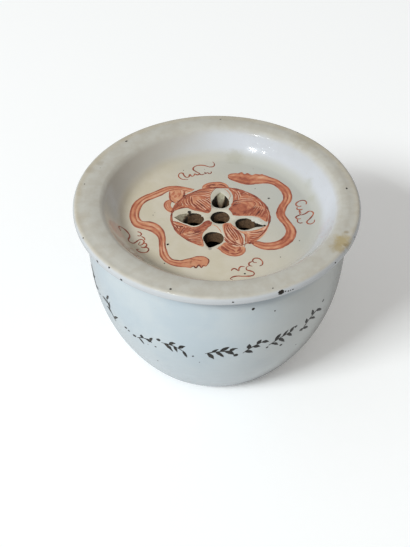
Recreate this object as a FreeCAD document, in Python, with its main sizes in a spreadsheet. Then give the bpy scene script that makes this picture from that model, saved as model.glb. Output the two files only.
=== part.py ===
import FreeCAD, Part
import math
import os

import Sketcher
from FreeCAD import Placement, Rotation, Vector

# A porcelain cricket jar and its pierced lid, in millimetres, +Z up.
# The origin is the middle of the ring that the jar stands on.

# Driving dimensions: name, value, and what it measures. Heights are above the table.
JAR_SIZES = [
    ("foot_radius", 26.4, "outside of the foot ring"),
    ("foot_inner_radius", 22.2, "inside of the foot ring"),
    ("foot_round", 0.7, "rounding of the foot ring's outer edge"),
    ("foot_height", 2.1, "height of the foot ring's outer face"),
    ("base_hollow", 2.6, "height of the hollow base inside the foot ring"),
    ("heel_flat_radius", 28.66, "where the underside starts to turn up"),
    ("heel_radius", 30.9, "where the heel's rounding meets the wall"),
    ("heel_height", 3.2, "height of that point"),
    ("shoulder_radius", 45.1, "radius at the shoulder, where the wall becomes upright"),
    ("shoulder_height", 39.3, "height of the shoulder"),
    ("mouth_radius", 45.6, "outside of the mouth"),
    ("mouth_round", 1.5, "rounding of the mouth rim"),
    ("jar_height", 62.4, "top of the mouth rim"),
    ("wall", 3.3, "thickness of the wall at the mouth and the shoulder"),
    ("floor_height", 6.8, "inside floor"),
    ("floor_radius", 21.8, "flat part of the inside floor"),
    ("corner_radius", 33.4, "where the inside corner meets the wall"),
    ("corner_height", 13.2, "height of that point"),
]
LID_SIZES = [
    ("seat_gap", 0.1, "clearance between the mouth rim and the lid's seat"),
    ("plug_radius", 41.3, "outside of the part that drops into the mouth"),
    ("plug_guide", 2.4, "upright depth of that part"),
    ("plug_floor_radius", 31.5, "flat underside of the lid"),
    ("plug_depth", 8.9, "how far the underside hangs below the seat"),
    ("lid_radius", 50.0, "outside of the lip"),
    ("lip_edge", 0.8, "rounding of the lip's lower edge"),
    ("lip_face", 1.6, "from the seat's level up to where the lip starts to round over"),
    ("lip_top_radius", 48.5, "where the lip's rounding meets the rim's dome"),
    ("lip_top", 3.15, "height of that point above the seat"),
    ("dome_radius", 45.8, "highest circle of the rim"),
    ("dome_top", 3.4, "height of that circle above the seat"),
    ("dish_offset", 1.2, "how far the dish is off the lid's centre, to the right"),
    ("dish_drop", 8.9, "depth of the dish below the highest circle"),
    ("dish_floor_radius", 31.6, "flat floor of the dish"),
    ("dish_bend_radius", 35.4, "where the floor's rounding meets the slope"),
    ("dish_bend_rise", 1.8, "height of that point above the dish floor"),
    ("dish_edge_radius", 40.0, "where the slope meets the rim's inner rounding"),
    ("dish_edge_rise", 7.2, "height of that point above the dish floor"),
    ("dish_rim_radius", 43.6, "where the inner rounding levels out"),
    ("dish_rim_rise", 9.0, "height of that point above the dish floor"),
    ("tool_over", 0.3, "how far the cuts run past the faces that they cut"),
]
# Round air hole in the middle, and four round holes that each run out into a pointed leaf.
# The leaf's floor slopes down from its tip to the hole, so the tip is near the hole below.
CENTRE_HOLE_SIZES = [
    ("centre_hole_x", 1.2, "middle air hole"),
    ("centre_hole_y", 0.4, "middle air hole"),
    ("centre_hole_radius", 3.3, "middle air hole"),
    ("leaf_tip_below", 1.12, "leaf tip on the underside, as a share of the hole's radius"),
]
# name, x, y, radius, distance to the leaf's tip, direction of the tip in degrees
LEAF_HOLES = [
    ("left_hole", -8.0, -0.5, 3.3, 7.0, 170.0),
    ("far_hole", 1.4, 8.7, 3.25, 6.5, 88.0),
    ("right_hole", 9.8, -3.1, 3.2, 7.0, -6.0),
    ("near_hole", -1.3, -10.6, 3.4, 6.2, 260.0),
]
LEAF_FIELDS = ["x", "y", "radius", "tip", "angle"]

SHARED_LIMIT = 1e-6


def leaf_sizes():
    """Sheet rows of the leaf holes, such as left_hole_radius."""
    rows = []
    for name, *numbers in LEAF_HOLES:
        for field, number in zip(LEAF_FIELDS, numbers):
            rows.append((f"{name}_{field}", number, f"{name}: {field}"))
    return rows


def make_sheet(document):
    """The spreadsheet of driving dimensions: name, value and meaning, with the name as alias."""
    sheet = document.addObject("Spreadsheet::Sheet", "Sizes")
    rows = JAR_SIZES + LID_SIZES + CENTRE_HOLE_SIZES + leaf_sizes()
    for row, (name, value, meaning) in enumerate(rows, start=1):
        sheet.set(f"A{row}", name)
        sheet.set(f"B{row}", str(value))
        sheet.set(f"C{row}", meaning)
        sheet.setAlias(f"B{row}", name)
    document.recompute()
    return sheet


def number(sheet, words):
    """Value of a sum of sheet names, such as 'mouth_radius - wall'."""
    result = 0.0
    sign = 1.0
    for word in words.split():
        if word in ("+", "-"):
            sign = 1.0 if word == "+" else -1.0
        elif word == "0":
            continue
        else:
            result += sign * sheet.get(word)
    return result


def formula(words):
    """The same sum as an expression that reads the sheet."""
    return " ".join(w if w in ("+", "-", "0") else f"Sizes.{w}" for w in words.split())


def origin_plane(body, role):
    """One of the body's own origin planes, found by its role."""
    return next(f for f in body.Origin.OriginFeatures if f.Role == role)


def new_sketch(body, name, plane_role):
    """A sketch on one of the body's origin planes."""
    sketch = body.newObject("Sketcher::SketchObject", name)
    sketch.AttachmentSupport = [(origin_plane(body, plane_role), "")]
    sketch.MapMode = "FlatFace"
    return sketch


def place_point(sketch, edge, end, words, kind, axis):
    """Ties one coordinate of a point to the sheet, or to the axis where it is 0."""
    if words == "0":
        sketch.addConstraint(Sketcher.Constraint("PointOnObject", edge, end, axis))
        return
    value = number(sketch.Document.Sizes, words)
    index = sketch.addConstraint(Sketcher.Constraint(kind, -1, 1, edge, end, value))
    sketch.setExpression(f"Constraints[{index}]", formula(words))


def tangent_arc(start, end, heading):
    """Arc from start to end that leaves start along heading: the arc, its ends' numbers, new heading."""
    left = Vector(-heading.y, heading.x, 0)
    step = end - start
    radius = step.Length**2 / (2 * step.dot(left))
    centre = start + left * radius
    start_angle = math.atan2(start.y - centre.y, start.x - centre.x)
    end_angle = math.atan2(end.y - centre.y, end.x - centre.x)
    circle = Part.Circle(centre, Vector(0, 0, 1), abs(radius))
    spoke = (end - centre) * (1 / radius)
    new_heading = Vector(-spoke.y, spoke.x, 0)
    if radius > 0:
        return Part.ArcOfCircle(circle, start_angle, end_angle), 1, 2, new_heading
    return Part.ArcOfCircle(circle, end_angle, start_angle), 2, 1, new_heading


def draw_outline(sketch, corners):
    """A closed outline through corners (x, y, edge), each given as sums of sheet names.

    edge says how the outline reaches that corner: "line", or "arc" for an arc that is tangent
    to the edge before it. The last corner is joined to the first by a line.
    """
    sheet = sketch.Document.Sizes
    points = [Vector(number(sheet, x), number(sheet, y), 0) for x, y, _ in corners]
    heading = Vector(1, 0, 0)
    last_edge = None
    last_end = None
    for (x, y, kind), start, end in zip(corners[1:] + corners[:1], points, points[1:] + points[:1]):
        if kind == "arc":
            shape, first, second, heading = tangent_arc(start, end, heading)
        else:
            shape, first, second = Part.LineSegment(start, end), 1, 2
            heading = (end - start).normalize()
        edge = sketch.addGeometry(shape, False)
        if last_edge is not None:
            joint = "Tangent" if kind == "arc" else "Coincident"
            sketch.addConstraint(Sketcher.Constraint(joint, last_edge, last_end, edge, first))
        else:
            first_edge = edge
        if end == points[0]:
            sketch.addConstraint(Sketcher.Constraint("Coincident", edge, second, first_edge, 1))
        place_point(sketch, edge, second, x, "DistanceX", -2)
        place_point(sketch, edge, second, y, "DistanceY", -1)
        last_edge, last_end = edge, second


def turn(body, feature_type, name, corners, offset=None):
    """Turns an outline in the XZ plane about the vertical axis, as a Revolution or a Groove."""
    sketch = new_sketch(body, f"{name}_outline", "XZ_Plane")
    if offset:
        sketch.setExpression(".AttachmentOffset.Base.x", formula(offset))
    draw_outline(sketch, corners)
    feature = body.newObject(f"PartDesign::{feature_type}", name)
    feature.Profile = sketch
    feature.ReferenceAxis = (sketch, ["V_Axis"])
    feature.Angle = 360
    body.Document.recompute()
    return feature


def make_jar(document):
    """The thrown jar: turned outside, hollow inside, and a foot ring round a hollow base."""
    body = document.addObject("PartDesign::Body", "jar_body")
    body.Label = "jar_body"
    turn(body, "Revolution", "outside", [
        ("0", "0", "line"),
        ("foot_radius - foot_round", "0", "line"),
        ("foot_radius", "foot_round", "arc"),
        ("foot_radius", "foot_height", "line"),
        ("heel_flat_radius", "foot_height", "line"),
        ("heel_radius", "heel_height", "arc"),
        ("shoulder_radius", "shoulder_height", "arc"),
        ("mouth_radius", "jar_height - mouth_round", "arc"),
        ("mouth_radius - mouth_round", "jar_height", "arc"),
        ("0", "jar_height", "line"),
    ])
    turn(body, "Groove", "inside", [
        ("0", "floor_height", "line"),
        ("floor_radius", "floor_height", "line"),
        ("corner_radius", "corner_height", "arc"),
        ("shoulder_radius - wall", "shoulder_height", "arc"),
        ("mouth_radius - wall", "jar_height - mouth_round", "arc"),
        ("mouth_radius - wall + mouth_round", "jar_height", "arc"),
        ("mouth_radius - wall + mouth_round", "jar_height + tool_over", "line"),
        ("0", "jar_height + tool_over", "line"),
    ])
    turn(body, "Groove", "foot_hollow", [
        ("0", "0 - tool_over", "line"),
        ("foot_inner_radius", "0 - tool_over", "line"),
        ("foot_inner_radius", "base_hollow - foot_round", "line"),
        ("foot_inner_radius - foot_round", "base_hollow", "arc"),
        ("0", "base_hollow", "line"),
    ])
    return body


def make_lid_blank(body):
    """The lid before its holes: a lipped disc with a plug below and an off-centre dish above."""
    seat = "jar_height + seat_gap"
    dish_floor = f"{seat} + dome_top - dish_drop"
    turn(body, "Revolution", "lipped_disc", [
        ("0", f"{seat} - plug_depth", "line"),
        ("plug_floor_radius", f"{seat} - plug_depth", "line"),
        ("plug_radius", f"{seat} - plug_guide", "arc"),
        ("plug_radius", seat, "line"),
        ("lid_radius - lip_edge", seat, "line"),
        ("lid_radius", f"{seat} + lip_edge", "arc"),
        ("lid_radius", f"{seat} + lip_face", "line"),
        ("lip_top_radius", f"{seat} + lip_top", "arc"),
        ("dome_radius", f"{seat} + dome_top", "arc"),
        ("0", f"{seat} + dome_top", "line"),
    ])
    turn(body, "Groove", "dish", [
        ("0", dish_floor, "line"),
        ("dish_floor_radius", dish_floor, "line"),
        ("dish_bend_radius", f"{dish_floor} + dish_bend_rise", "arc"),
        ("dish_edge_radius", f"{dish_floor} + dish_edge_rise", "line"),
        ("dish_rim_radius", f"{dish_floor} + dish_rim_rise", "arc"),
        ("dish_rim_radius", f"{dish_floor} + dish_rim_rise + tool_over", "line"),
        ("0", f"{dish_floor} + dish_rim_rise + tool_over", "line"),
    ], offset="dish_offset")


def cut_centre_hole(body):
    """The round hole in the middle of the dish."""
    sketch = new_sketch(body, "centre_hole_outline", "XY_Plane")
    sketch.setExpression(".AttachmentOffset.Base.z", formula("jar_height + dome_top"))
    sheet = body.Document.Sizes
    middle = Vector(sheet.get("centre_hole_x"), sheet.get("centre_hole_y"), 0)
    circle = Part.Circle(middle, Vector(0, 0, 1), sheet.get("centre_hole_radius"))
    edge = sketch.addGeometry(circle, False)
    place_point(sketch, edge, 3, "centre_hole_x", "DistanceX", -2)
    place_point(sketch, edge, 3, "centre_hole_y", "DistanceY", -1)
    index = sketch.addConstraint(Sketcher.Constraint("Radius", edge, circle.Radius))
    sketch.setExpression(f"Constraints[{index}]", "Sizes.centre_hole_radius")
    pocket = body.newObject("PartDesign::Pocket", "centre_hole")
    pocket.Profile = sketch
    pocket.Type = "ThroughAll"
    body.Document.recompute()


def draw_leaf(body, name, level, height, tip):
    """A circle that runs out into a point: one arc and two straight sides that are tangent to it.

    The circle's middle is the sketch's origin and the point is on its X axis. height is a sum
    of sheet names, and tip is the expression for the distance to the point.
    """
    sheet = body.Document.Sizes
    sketch = new_sketch(body, f"{name}_{level}", "XY_Plane")
    sketch.setExpression(".AttachmentOffset.Base.x", f"Sizes.{name}_x")
    sketch.setExpression(".AttachmentOffset.Base.y", f"Sizes.{name}_y")
    sketch.setExpression(".AttachmentOffset.Base.z", formula(height))
    turned = Rotation(Vector(0, 0, 1), sheet.get(f"{name}_angle"))
    sketch.AttachmentOffset = Placement(sketch.AttachmentOffset.Base, turned)
    sketch.setExpression(".AttachmentOffset.Rotation.Angle", f"Sizes.{name}_angle")
    radius = sheet.get(f"{name}_radius")
    reach = sheet.get(f"{name}_tip") if level == "above" else radius * sheet.get("leaf_tip_below")
    half = math.acos(radius / reach)
    touch = Vector(radius * math.cos(half), radius * math.sin(half), 0)
    mirrored = Vector(touch.x, -touch.y, 0)
    point = Vector(reach, 0, 0)
    circle = Part.Circle(Vector(0, 0, 0), Vector(0, 0, 1), radius)
    arc = sketch.addGeometry(Part.ArcOfCircle(circle, half, 2 * math.pi - half), False)
    lower = sketch.addGeometry(Part.LineSegment(mirrored, point), False)
    upper = sketch.addGeometry(Part.LineSegment(point, touch), False)
    sketch.addConstraint(Sketcher.Constraint("Coincident", arc, 3, -1, 1))
    sketch.addConstraint(Sketcher.Constraint("Tangent", arc, 2, lower, 1))
    sketch.addConstraint(Sketcher.Constraint("Tangent", upper, 2, arc, 1))
    sketch.addConstraint(Sketcher.Constraint("Coincident", lower, 2, upper, 1))
    sketch.addConstraint(Sketcher.Constraint("PointOnObject", lower, 2, -1))
    index = sketch.addConstraint(Sketcher.Constraint("Radius", arc, radius))
    sketch.setExpression(f"Constraints[{index}]", f"Sizes.{name}_radius")
    index = sketch.addConstraint(Sketcher.Constraint("DistanceX", -1, 1, lower, 2, reach))
    sketch.setExpression(f"Constraints[{index}]", tip)
    return sketch


def cut_leaf_hole(body, name):
    """A hole with a leaf-shaped mouth: its long tip above narrows to a short one below."""
    dish_floor = "jar_height + seat_gap + dome_top - dish_drop"
    underside = "jar_height + seat_gap - plug_depth"
    above = draw_leaf(body, name, "above", f"{dish_floor} + tool_over", f"Sizes.{name}_tip")
    short_tip = f"Sizes.{name}_radius * Sizes.leaf_tip_below"
    below = draw_leaf(body, name, "below", f"{underside} - tool_over", short_tip)
    loft = body.newObject("PartDesign::SubtractiveLoft", name)
    loft.Profile = above
    loft.Sections = [below]
    loft.Ruled = True
    body.Document.recompute()


def make_lid(document):
    """The lid, whose volume has to drop with every hole."""
    body = document.addObject("PartDesign::Body", "lid")
    body.Label = "lid"
    make_lid_blank(body)
    volumes = [body.Shape.Volume]
    cut_centre_hole(body)
    volumes.append(body.Shape.Volume)
    for name, *_ in LEAF_HOLES:
        cut_leaf_hole(body, name)
        volumes.append(body.Shape.Volume)
    for before, after in zip(volumes, volumes[1:]):
        if before - after < 1.0:
            raise RuntimeError(f"a hole in the lid cut nothing: {before:.1f} to {after:.1f}")
    return body


def check(document, bodies):
    """Stops if an object failed or a sub-part isn't one valid solid."""
    document.recompute()
    for item in document.Objects:
        if "Invalid" in item.State or "Error" in item.State:
            raise RuntimeError(f"{item.Name} failed: {item.State}")
        if item.TypeId == "Sketcher::SketchObject" and item.solve() != 0:
            raise RuntimeError(f"sketch {item.Name} can't be solved")
    for body in bodies:
        shape = body.Shape
        if shape.isNull() or not shape.isValid() or len(shape.Solids) != 1:
            raise RuntimeError(f"{body.Label} isn't one valid solid")


def report(bodies):
    """Prints each sub-part's box and volume, and any space that two of them share."""
    for body in bodies:
        box = body.Shape.optimalBoundingBox(True, False)
        print(f"{body.Label}: x {box.XMin:.2f} {box.XMax:.2f}, y {box.YMin:.2f} {box.YMax:.2f},",
              f"z {box.ZMin:.2f} {box.ZMax:.2f}, {body.Shape.Volume / 1000:.1f} cm3")
    jar, lid = bodies
    shared = jar.Shape.common(lid.Shape).Volume
    if shared > SHARED_LIMIT:
        raise RuntimeError(f"jar and lid share {shared:.4f} mm3")


def main():
    document = FreeCAD.newDocument("cricket_jar")
    make_sheet(document)
    bodies = [make_jar(document), make_lid(document)]
    check(document, bodies)
    report(bodies)
    os.makedirs("parts", exist_ok=True)
    for body in bodies:
        body.Shape.exportStep(f"parts/{body.Label}.step")


main()
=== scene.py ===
"""Porcelain cricket jar with a painted, pierced lid: its looks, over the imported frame.

Lengths are millimetres in the frame's own axes, and become metres when a mesh is built.
"""

import math
import random

import bpy
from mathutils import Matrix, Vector
from mathutils.geometry import delaunay_2d_cdt


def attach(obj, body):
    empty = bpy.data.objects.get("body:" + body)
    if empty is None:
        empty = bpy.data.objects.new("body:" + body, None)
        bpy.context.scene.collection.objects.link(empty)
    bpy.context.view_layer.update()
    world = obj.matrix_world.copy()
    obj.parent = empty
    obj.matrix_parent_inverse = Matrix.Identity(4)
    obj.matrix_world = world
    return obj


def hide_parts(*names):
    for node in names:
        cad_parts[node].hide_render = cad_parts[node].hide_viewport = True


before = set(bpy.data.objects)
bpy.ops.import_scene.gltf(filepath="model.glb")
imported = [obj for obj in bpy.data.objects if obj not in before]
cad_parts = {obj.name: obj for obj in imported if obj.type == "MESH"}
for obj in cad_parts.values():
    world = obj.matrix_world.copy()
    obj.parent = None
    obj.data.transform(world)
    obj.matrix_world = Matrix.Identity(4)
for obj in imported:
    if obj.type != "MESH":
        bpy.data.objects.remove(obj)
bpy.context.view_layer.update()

MM = 0.001
FULL_TURN = 2 * math.pi
CURVE_PARTS = 8  # straight parts between two corners of a smooth curve

# Jar, as in the frame: radii and heights above the table.
FOOT_OUTER = 26.4
FOOT_INNER = 22.2
FOOT_HEIGHT = 2.1
BASE_HOLLOW = 2.6
JAR_HEIGHT = 62.4
INSIDE_FLOOR = 6.8

# Lid, as in the frame.
SEAT = 62.5
UNDERSIDE = 53.6
UNDERSIDE_RADIUS = 31.5
PLUG_RADIUS = 41.3
LID_RADIUS = 50.0
LIP_TOP_RADIUS = 48.5
RIM_TOP = 65.9
RIM_RADIUS = 45.8
DISH_SHIFT = 1.2
DISH_FLOOR = 57.0
DISH_RADIUS = 31.6
DISH_BEND_RADIUS = 35.2
DISH_EDGE_RADIUS = 40.0
DISH_RIM_RADIUS = 43.6
CREST_RADIUS = 44.75  # where the dish's circles meet the lip's

# Where the jar is bare: up to a height at the foot, and down from the mouth, inside a radius.
BARE_FOOT = 0.75
BARE_MOUTH = 0.5
BARE_MOUTH_RADIUS = 45.4

JAR_SEGMENTS = 240
LID_SEGMENTS = 300
HOLE_SEGMENTS = 108


# Small tools for outlines

def lerp(a, b, share):
    return a + (b - a) * share


def clamp(value):
    return min(1.0, max(0.0, value))


def smooth(low, high, value):
    """0 below low, 1 above high, and an even S between them."""
    share = clamp((value - low) / (high - low))
    return share * share * (3 - 2 * share)


def wander(seed, waves=3, longest=1.0):
    """A steady random function of a length, between about -1 and 1, whose slowest wave is longest."""
    dice = random.Random(seed)
    parts = [(dice.uniform(0.4, 1.0) / (n + 1), (n + 1) * dice.uniform(0.8, 1.3), dice.uniform(0, FULL_TURN))
             for n in range(waves)]

    def value(at):
        return sum(size * math.sin(FULL_TURN * at * rate / longest + start) for size, rate, start in parts)
    return value


def unit(angle):
    """The flat vector of length 1 at an angle."""
    return Vector((math.cos(angle), math.sin(angle)))


def turned(spoke, angle):
    """A flat vector, turned by an angle."""
    cos, sin = math.cos(angle), math.sin(angle)
    return Vector((spoke.x * cos - spoke.y * sin, spoke.x * sin + spoke.y * cos))


def tangent_arc(start, end, heading, step):
    """Points of the arc that leaves start along heading and ends at end, and the heading there."""
    left = Vector((-heading.y, heading.x))
    chord = end - start
    across = chord.dot(left)
    if abs(across) < 1e-6:
        return [end], heading
    radius = chord.length_squared / (2 * across)
    centre = start + left * radius
    sweep = 2 * math.atan2(across, chord.dot(heading))
    count = max(3, math.ceil(abs(radius * sweep) / step))
    points = [centre + turned(start - centre, sweep * k / count) for k in range(1, count + 1)]
    return points, turned(heading, sweep)


def trace(corners, step):
    """Profile through (radius, height, edge) corners, where edge is "line" or a tangent "arc"."""
    points = [Vector(corners[0][:2])]
    heading = Vector((1, 0))
    for radius, height, edge in corners[1:]:
        start = points[-1]
        end = Vector((radius, height))
        if edge == "arc":
            more, heading = tangent_arc(start, end, heading, step)
        else:
            heading = (end - start).normalized()
            count = max(1, math.ceil((end - start).length / step))
            more = [start.lerp(end, k / count) for k in range(1, count + 1)]
        points.extend(more)
    return points


def resample(points, count):
    """count evenly spaced points along a line of points."""
    lengths = [0.0]
    for a, b in zip(points, points[1:]):
        lengths.append(lengths[-1] + (b - a).length)
    result = []
    piece = 0
    for k in range(count):
        target = lengths[-1] * k / (count - 1)
        while piece < len(points) - 2 and lengths[piece + 1] < target:
            piece += 1
        span = lengths[piece + 1] - lengths[piece]
        share = (target - lengths[piece]) / span if span else 0.0
        result.append(points[piece].lerp(points[piece + 1], share))
    return result


def curve(points, step, closed=False):
    """Even points, about step apart, on a smooth curve through a few given ones."""
    corners = [Vector(p) for p in points]
    if closed:
        corners = [corners[-1]] + corners + corners[:2]
    else:
        corners = [corners[0] * 2 - corners[1]] + corners + [corners[-1] * 2 - corners[-2]]
    dense = []
    for a, b, c, d in zip(corners, corners[1:], corners[2:], corners[3:]):
        for k in range(CURVE_PARTS):
            t = k / CURVE_PARTS
            dense.append(0.5 * (2 * b + (c - a) * t + (2 * a - 5 * b + 4 * c - d) * t**2
                                + (3 * b - a - 3 * c + d) * t**3))
    dense.append(corners[-2])
    length = sum((b - a).length for a, b in zip(dense, dense[1:]))
    even = resample(dense, max(4, math.ceil(length / step) + 1))
    return even[:-1] if closed else even


def rows(text):
    """Rows of numbers, with a comma between rows."""
    return [tuple(float(word) for word in row.split()) for row in text.split(",")]


def pairs(text):
    """Places from one row of numbers: across, along, across, along."""
    numbers = rows(text)[0]
    return list(zip(numbers[::2], numbers[1::2]))


def inside(point, outline):
    """Whether a point is inside a closed outline."""
    hit = False
    for a, b in zip(outline, outline[1:] + outline[:1]):
        if (a.y > point.y) != (b.y > point.y):
            if point.x < a.x + (b.x - a.x) * (point.y - a.y) / (b.y - a.y):
                hit = not hit
    return hit


# Meshes

class Shape:
    """Vertices and faces of one piece in millimetres, with a tone from 0 to 1 at each vertex."""

    def __init__(self):
        self.points = []
        self.tones = []
        self.faces = []
        self.finishes = []

    def add(self, points, tones=0.0):
        """Adds vertices and returns their numbers."""
        first = len(self.points)
        self.points.extend(points)
        self.tones.extend(tones if isinstance(tones, list) else [tones] * len(points))
        return list(range(first, len(self.points)))

    def face(self, corners, finish=0):
        self.faces.append(corners)
        self.finishes.append(finish)

    def bridge(self, low, high, finish=0):
        """Quads between two closed rows of vertices of the same length."""
        for i in range(len(low)):
            j = (i + 1) % len(low)
            self.face((low[i], low[j], high[j], high[i]), finish)

    def tube(self, rows):
        """A closed tube through rows of vertices, with a face at each end."""
        for low, high in zip(rows, rows[1:]):
            self.bridge(low, high)
        self.face(tuple(rows[0]))
        self.face(tuple(reversed(rows[-1])))

    def fan(self, centre, ring, up, finish=0):
        """Triangles between one vertex and a ring round it."""
        for i, j in zip(ring, ring[1:] + ring[:1]):
            self.face((centre, i, j) if up else (centre, j, i), finish)

    def build(self, name, body, finishes, node=None, crease=32.0):
        """Makes the Blender object, which rides on a body and may stand for a node of the frame."""
        mesh = bpy.data.meshes.new(name)
        mesh.from_pydata([[c * MM for c in p] for p in self.points], [], self.faces)
        for finish in finishes:
            mesh.materials.append(finish)
        mesh.polygons.foreach_set("material_index", self.finishes)
        mesh.polygons.foreach_set("use_smooth", [True] * len(self.faces))
        tone = mesh.attributes.new("tone", "FLOAT", "POINT")
        tone.data.foreach_set("value", self.tones)
        mesh.set_sharp_from_angle(angle=math.radians(crease))
        piece = bpy.data.objects.new(name, mesh)
        bpy.context.scene.collection.objects.link(piece)
        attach(piece, body)
        if node:
            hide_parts(node)
        return piece


def fill(edges, is_open, spacing, seed):
    """Triangles inside the first closed edge and outside the others: points, triangles.

    The edges' own points come first in the result, in their order, and a loose grid of inner
    points follows. is_open says whether a place is clear of the surface's holes and rim.
    """
    dice = random.Random(seed)
    points = []
    borders = []
    for edge in edges:
        first = len(points)
        points.extend(edge)
        borders.extend((first + i, first + (i + 1) % len(edge)) for i in range(len(edge)))
    outer = edges[0]
    low = Vector((min(p.x for p in outer), min(p.y for p in outer)))
    high = Vector((max(p.x for p in outer), max(p.y for p in outer)))
    for row in range(math.ceil((high.y - low.y) / spacing)):
        for column in range(math.ceil((high.x - low.x) / spacing)):
            jitter = Vector((dice.uniform(-0.25, 0.25), dice.uniform(-0.25, 0.25)))
            place = low + Vector((column + 0.5 * (row % 2), row)) * spacing + jitter * spacing
            if is_open(place, spacing * 0.55):
                points.append(place)
    found, _, triangles, sources, _, _ = delaunay_2d_cdt(points, borders, [], 0, 1e-7)
    number = [source[0] for source in sources]
    kept = []
    for triangle in triangles:
        middle = sum((found[i] for i in triangle), Vector((0, 0))) / 3
        if is_open(middle, 0.0):
            kept.append([number[i] for i in triangle])
    return points, kept


# The air holes: one round, and four that run out into a pointed leaf

def from_tip(turn):
    """How far an angle is from 0, either way round."""
    return abs((turn + math.pi) % FULL_TURN - math.pi)


class Hole:
    """A hole through the lid.

    reaches gives the leaf tip's distance at shares of the depth, pinch how hollow the leaf's sides
    are, tongue how far a sloping tongue under the tip leaves the hole open, ragged how rough the
    edge is, and pale how glazed the leaf's slope is.
    """

    def __init__(self, name, x, y, radius, angle=0.0, reaches=((0, 0), (1, 0)), pinch=1.0,
                 tongue=0.0, ragged=0.05, pale=0.0):
        self.middle = Vector((x, y))
        self.radius = radius
        self.angle = math.radians(angle)
        self.reaches = reaches
        self.pinch = pinch
        self.tongue = tongue
        self.rough = wander(name, 4, FULL_TURN / 3)
        self.ragged = ragged
        self.pale = pale

    def reach(self, depth):
        for (a, near), (b, far) in zip(self.reaches, self.reaches[1:]):
            if depth <= b:
                return lerp(near, far, (depth - a) / (b - a))
        return self.reaches[-1][1]

    def edge_radius(self, turn, depth):
        """Distance from the middle to the wall, at an angle from the leaf's tip."""
        reach = self.reach(depth)
        radius = self.radius - HOLE_TAPER * depth
        result = radius
        if reach > radius * 1.01:
            half = math.acos(radius / reach)
            if from_tip(turn) < half:
                share = (radius / math.cos(half - from_tip(turn)) - radius) / (reach - radius)
                result += (reach - radius) * share**self.pinch
        if self.tongue:
            ramp = lerp(self.reach(0), self.tongue, depth)
            result = lerp(result, min(result, ramp), self.tongue_share(turn))
        wobble = 1 + 2.5 * smooth(self.radius * 1.1, self.radius * 1.6, result)
        return result + self.ragged * wobble * self.rough(turn)

    def tongue_share(self, turn):
        """1 on the sloping tongue under the leaf's tip, and 0 beside it."""
        return 1 - smooth(TONGUE_HALF * 0.8, TONGUE_HALF * 1.2, from_tip(turn) * self.radius * 1.4)

    def tones(self, depth):
        """Tones round the loop at a depth: 0 black with painted shade, 0.5 brown, and 1 glazed on the leaf's
        slope.
        """
        result = []
        for k in range(HOLE_SEGMENTS):
            turn = FULL_TURN * k / HOLE_SEGMENTS
            edge = self.edge_radius(turn, depth)
            facing = math.cos(turn + self.angle - LIT_WALL_SIDE)
            # painted shade: black on the walls that face away from the light, and down from the top edge
            black = lerp(0.03, 0.26, smooth(1.0, -0.1, facing)) + 1.2 * smooth(-0.3, -0.8, facing)
            brown_share = 0.5 * smooth(0.6 * black, 1.4 * black + 0.05, depth)
            if self.tongue:
                brown_share *= smooth(0.55, 1.25, from_tip(turn))
                glazed = self.tongue_share(turn) * (1 - 0.45 * depth)
            else:
                glazed = smooth(self.radius * 0.99, self.radius * 1.1, edge)
            if not self.pale:
                brown_share *= 1 - smooth(self.radius * 1.02, self.radius * 1.3, edge)
            result.append(lerp(brown_share, 1.0, self.pale * glazed))
        return result

    def loop(self, depth, spread=0.0):
        """The hole's outline at a share of the depth, grown by spread."""
        points = []
        for k in range(HOLE_SEGMENTS):
            turn = FULL_TURN * k / HOLE_SEGMENTS
            radius = self.edge_radius(turn, depth) + spread
            points.append(self.middle + HOLE_SLANT * depth + radius * unit(turn + self.angle))
        return points

    def holds(self, point, depth, margin):
        """Whether a point is inside the hole's outline, or within margin of it."""
        offset = point - self.middle - HOLE_SLANT * depth
        turn = math.atan2(offset.y, offset.x) - self.angle
        return offset.length < self.edge_radius(turn, depth) + margin


TONGUE_HALF = 1.7  # half of the far hole's sloping tongue
LIT_WALL_SIDE = 0.35  # direction of the walls with the least painted shade
HOLE_TAPER = 0.85  # how much less a hole's radius is on the underside
HOLE_SLANT = Vector((0.0, -0.8))  # how far the underside's outline is from the top's
HOLES = [
    Hole("centre", 1.2, 0.4, 3.4),
    Hole("left", -8.0, -0.5, 3.5, 170, ((0, 7.2), (0.16, 6.6), (0.32, 3.7), (1, 3.2)), pinch=0.6, ragged=0.07,
         pale=0.77),
    Hole("far", 1.4, 8.7, 3.25, 88, ((0, 5.9), (1, 5.0)), pinch=0.8, tongue=1.0, ragged=0.10, pale=1.0),
    Hole("right", 9.7, -3.1, 3.3, -7, ((0, 7.7), (0.8, 6.6), (1, 5.2)), pinch=1.35, ragged=0.13),
    Hole("near", -1.2, -10.7, 3.6, 250, ((0, 5.1), (0.10, 4.6), (0.25, 4.1), (1, 3.3)), pinch=0.55,
         ragged=0.1, pale=0.7),
]
HOLE_FLARE = 0.22  # how far the glaze's rounding spreads past a hole's edge
GLAZE_END = 0.045  # share of the depth that the rounding takes
GLAZED_EDGE = ((0.01, 0.10), (0.025, 0.03), (GLAZE_END, 0.0))  # share of the depth, spread
CUT_ROWS = 11  # rows of the cut wall below it
CUT_SPAN = 0.895  # share of the depth that they take


def floor_level(point):
    """Height of the dish floor, which is a little uneven and level at its edge."""
    fade = 1 - min(1.0, (point - Vector((DISH_SHIFT, 0))).length / DISH_RADIUS) ** 2
    return DISH_FLOOR + 0.05 * fade * (math.sin(point.x / 4.3 + 1) + math.sin(point.y / 5.1 + point.x / 9))


# The two turned pieces

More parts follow.
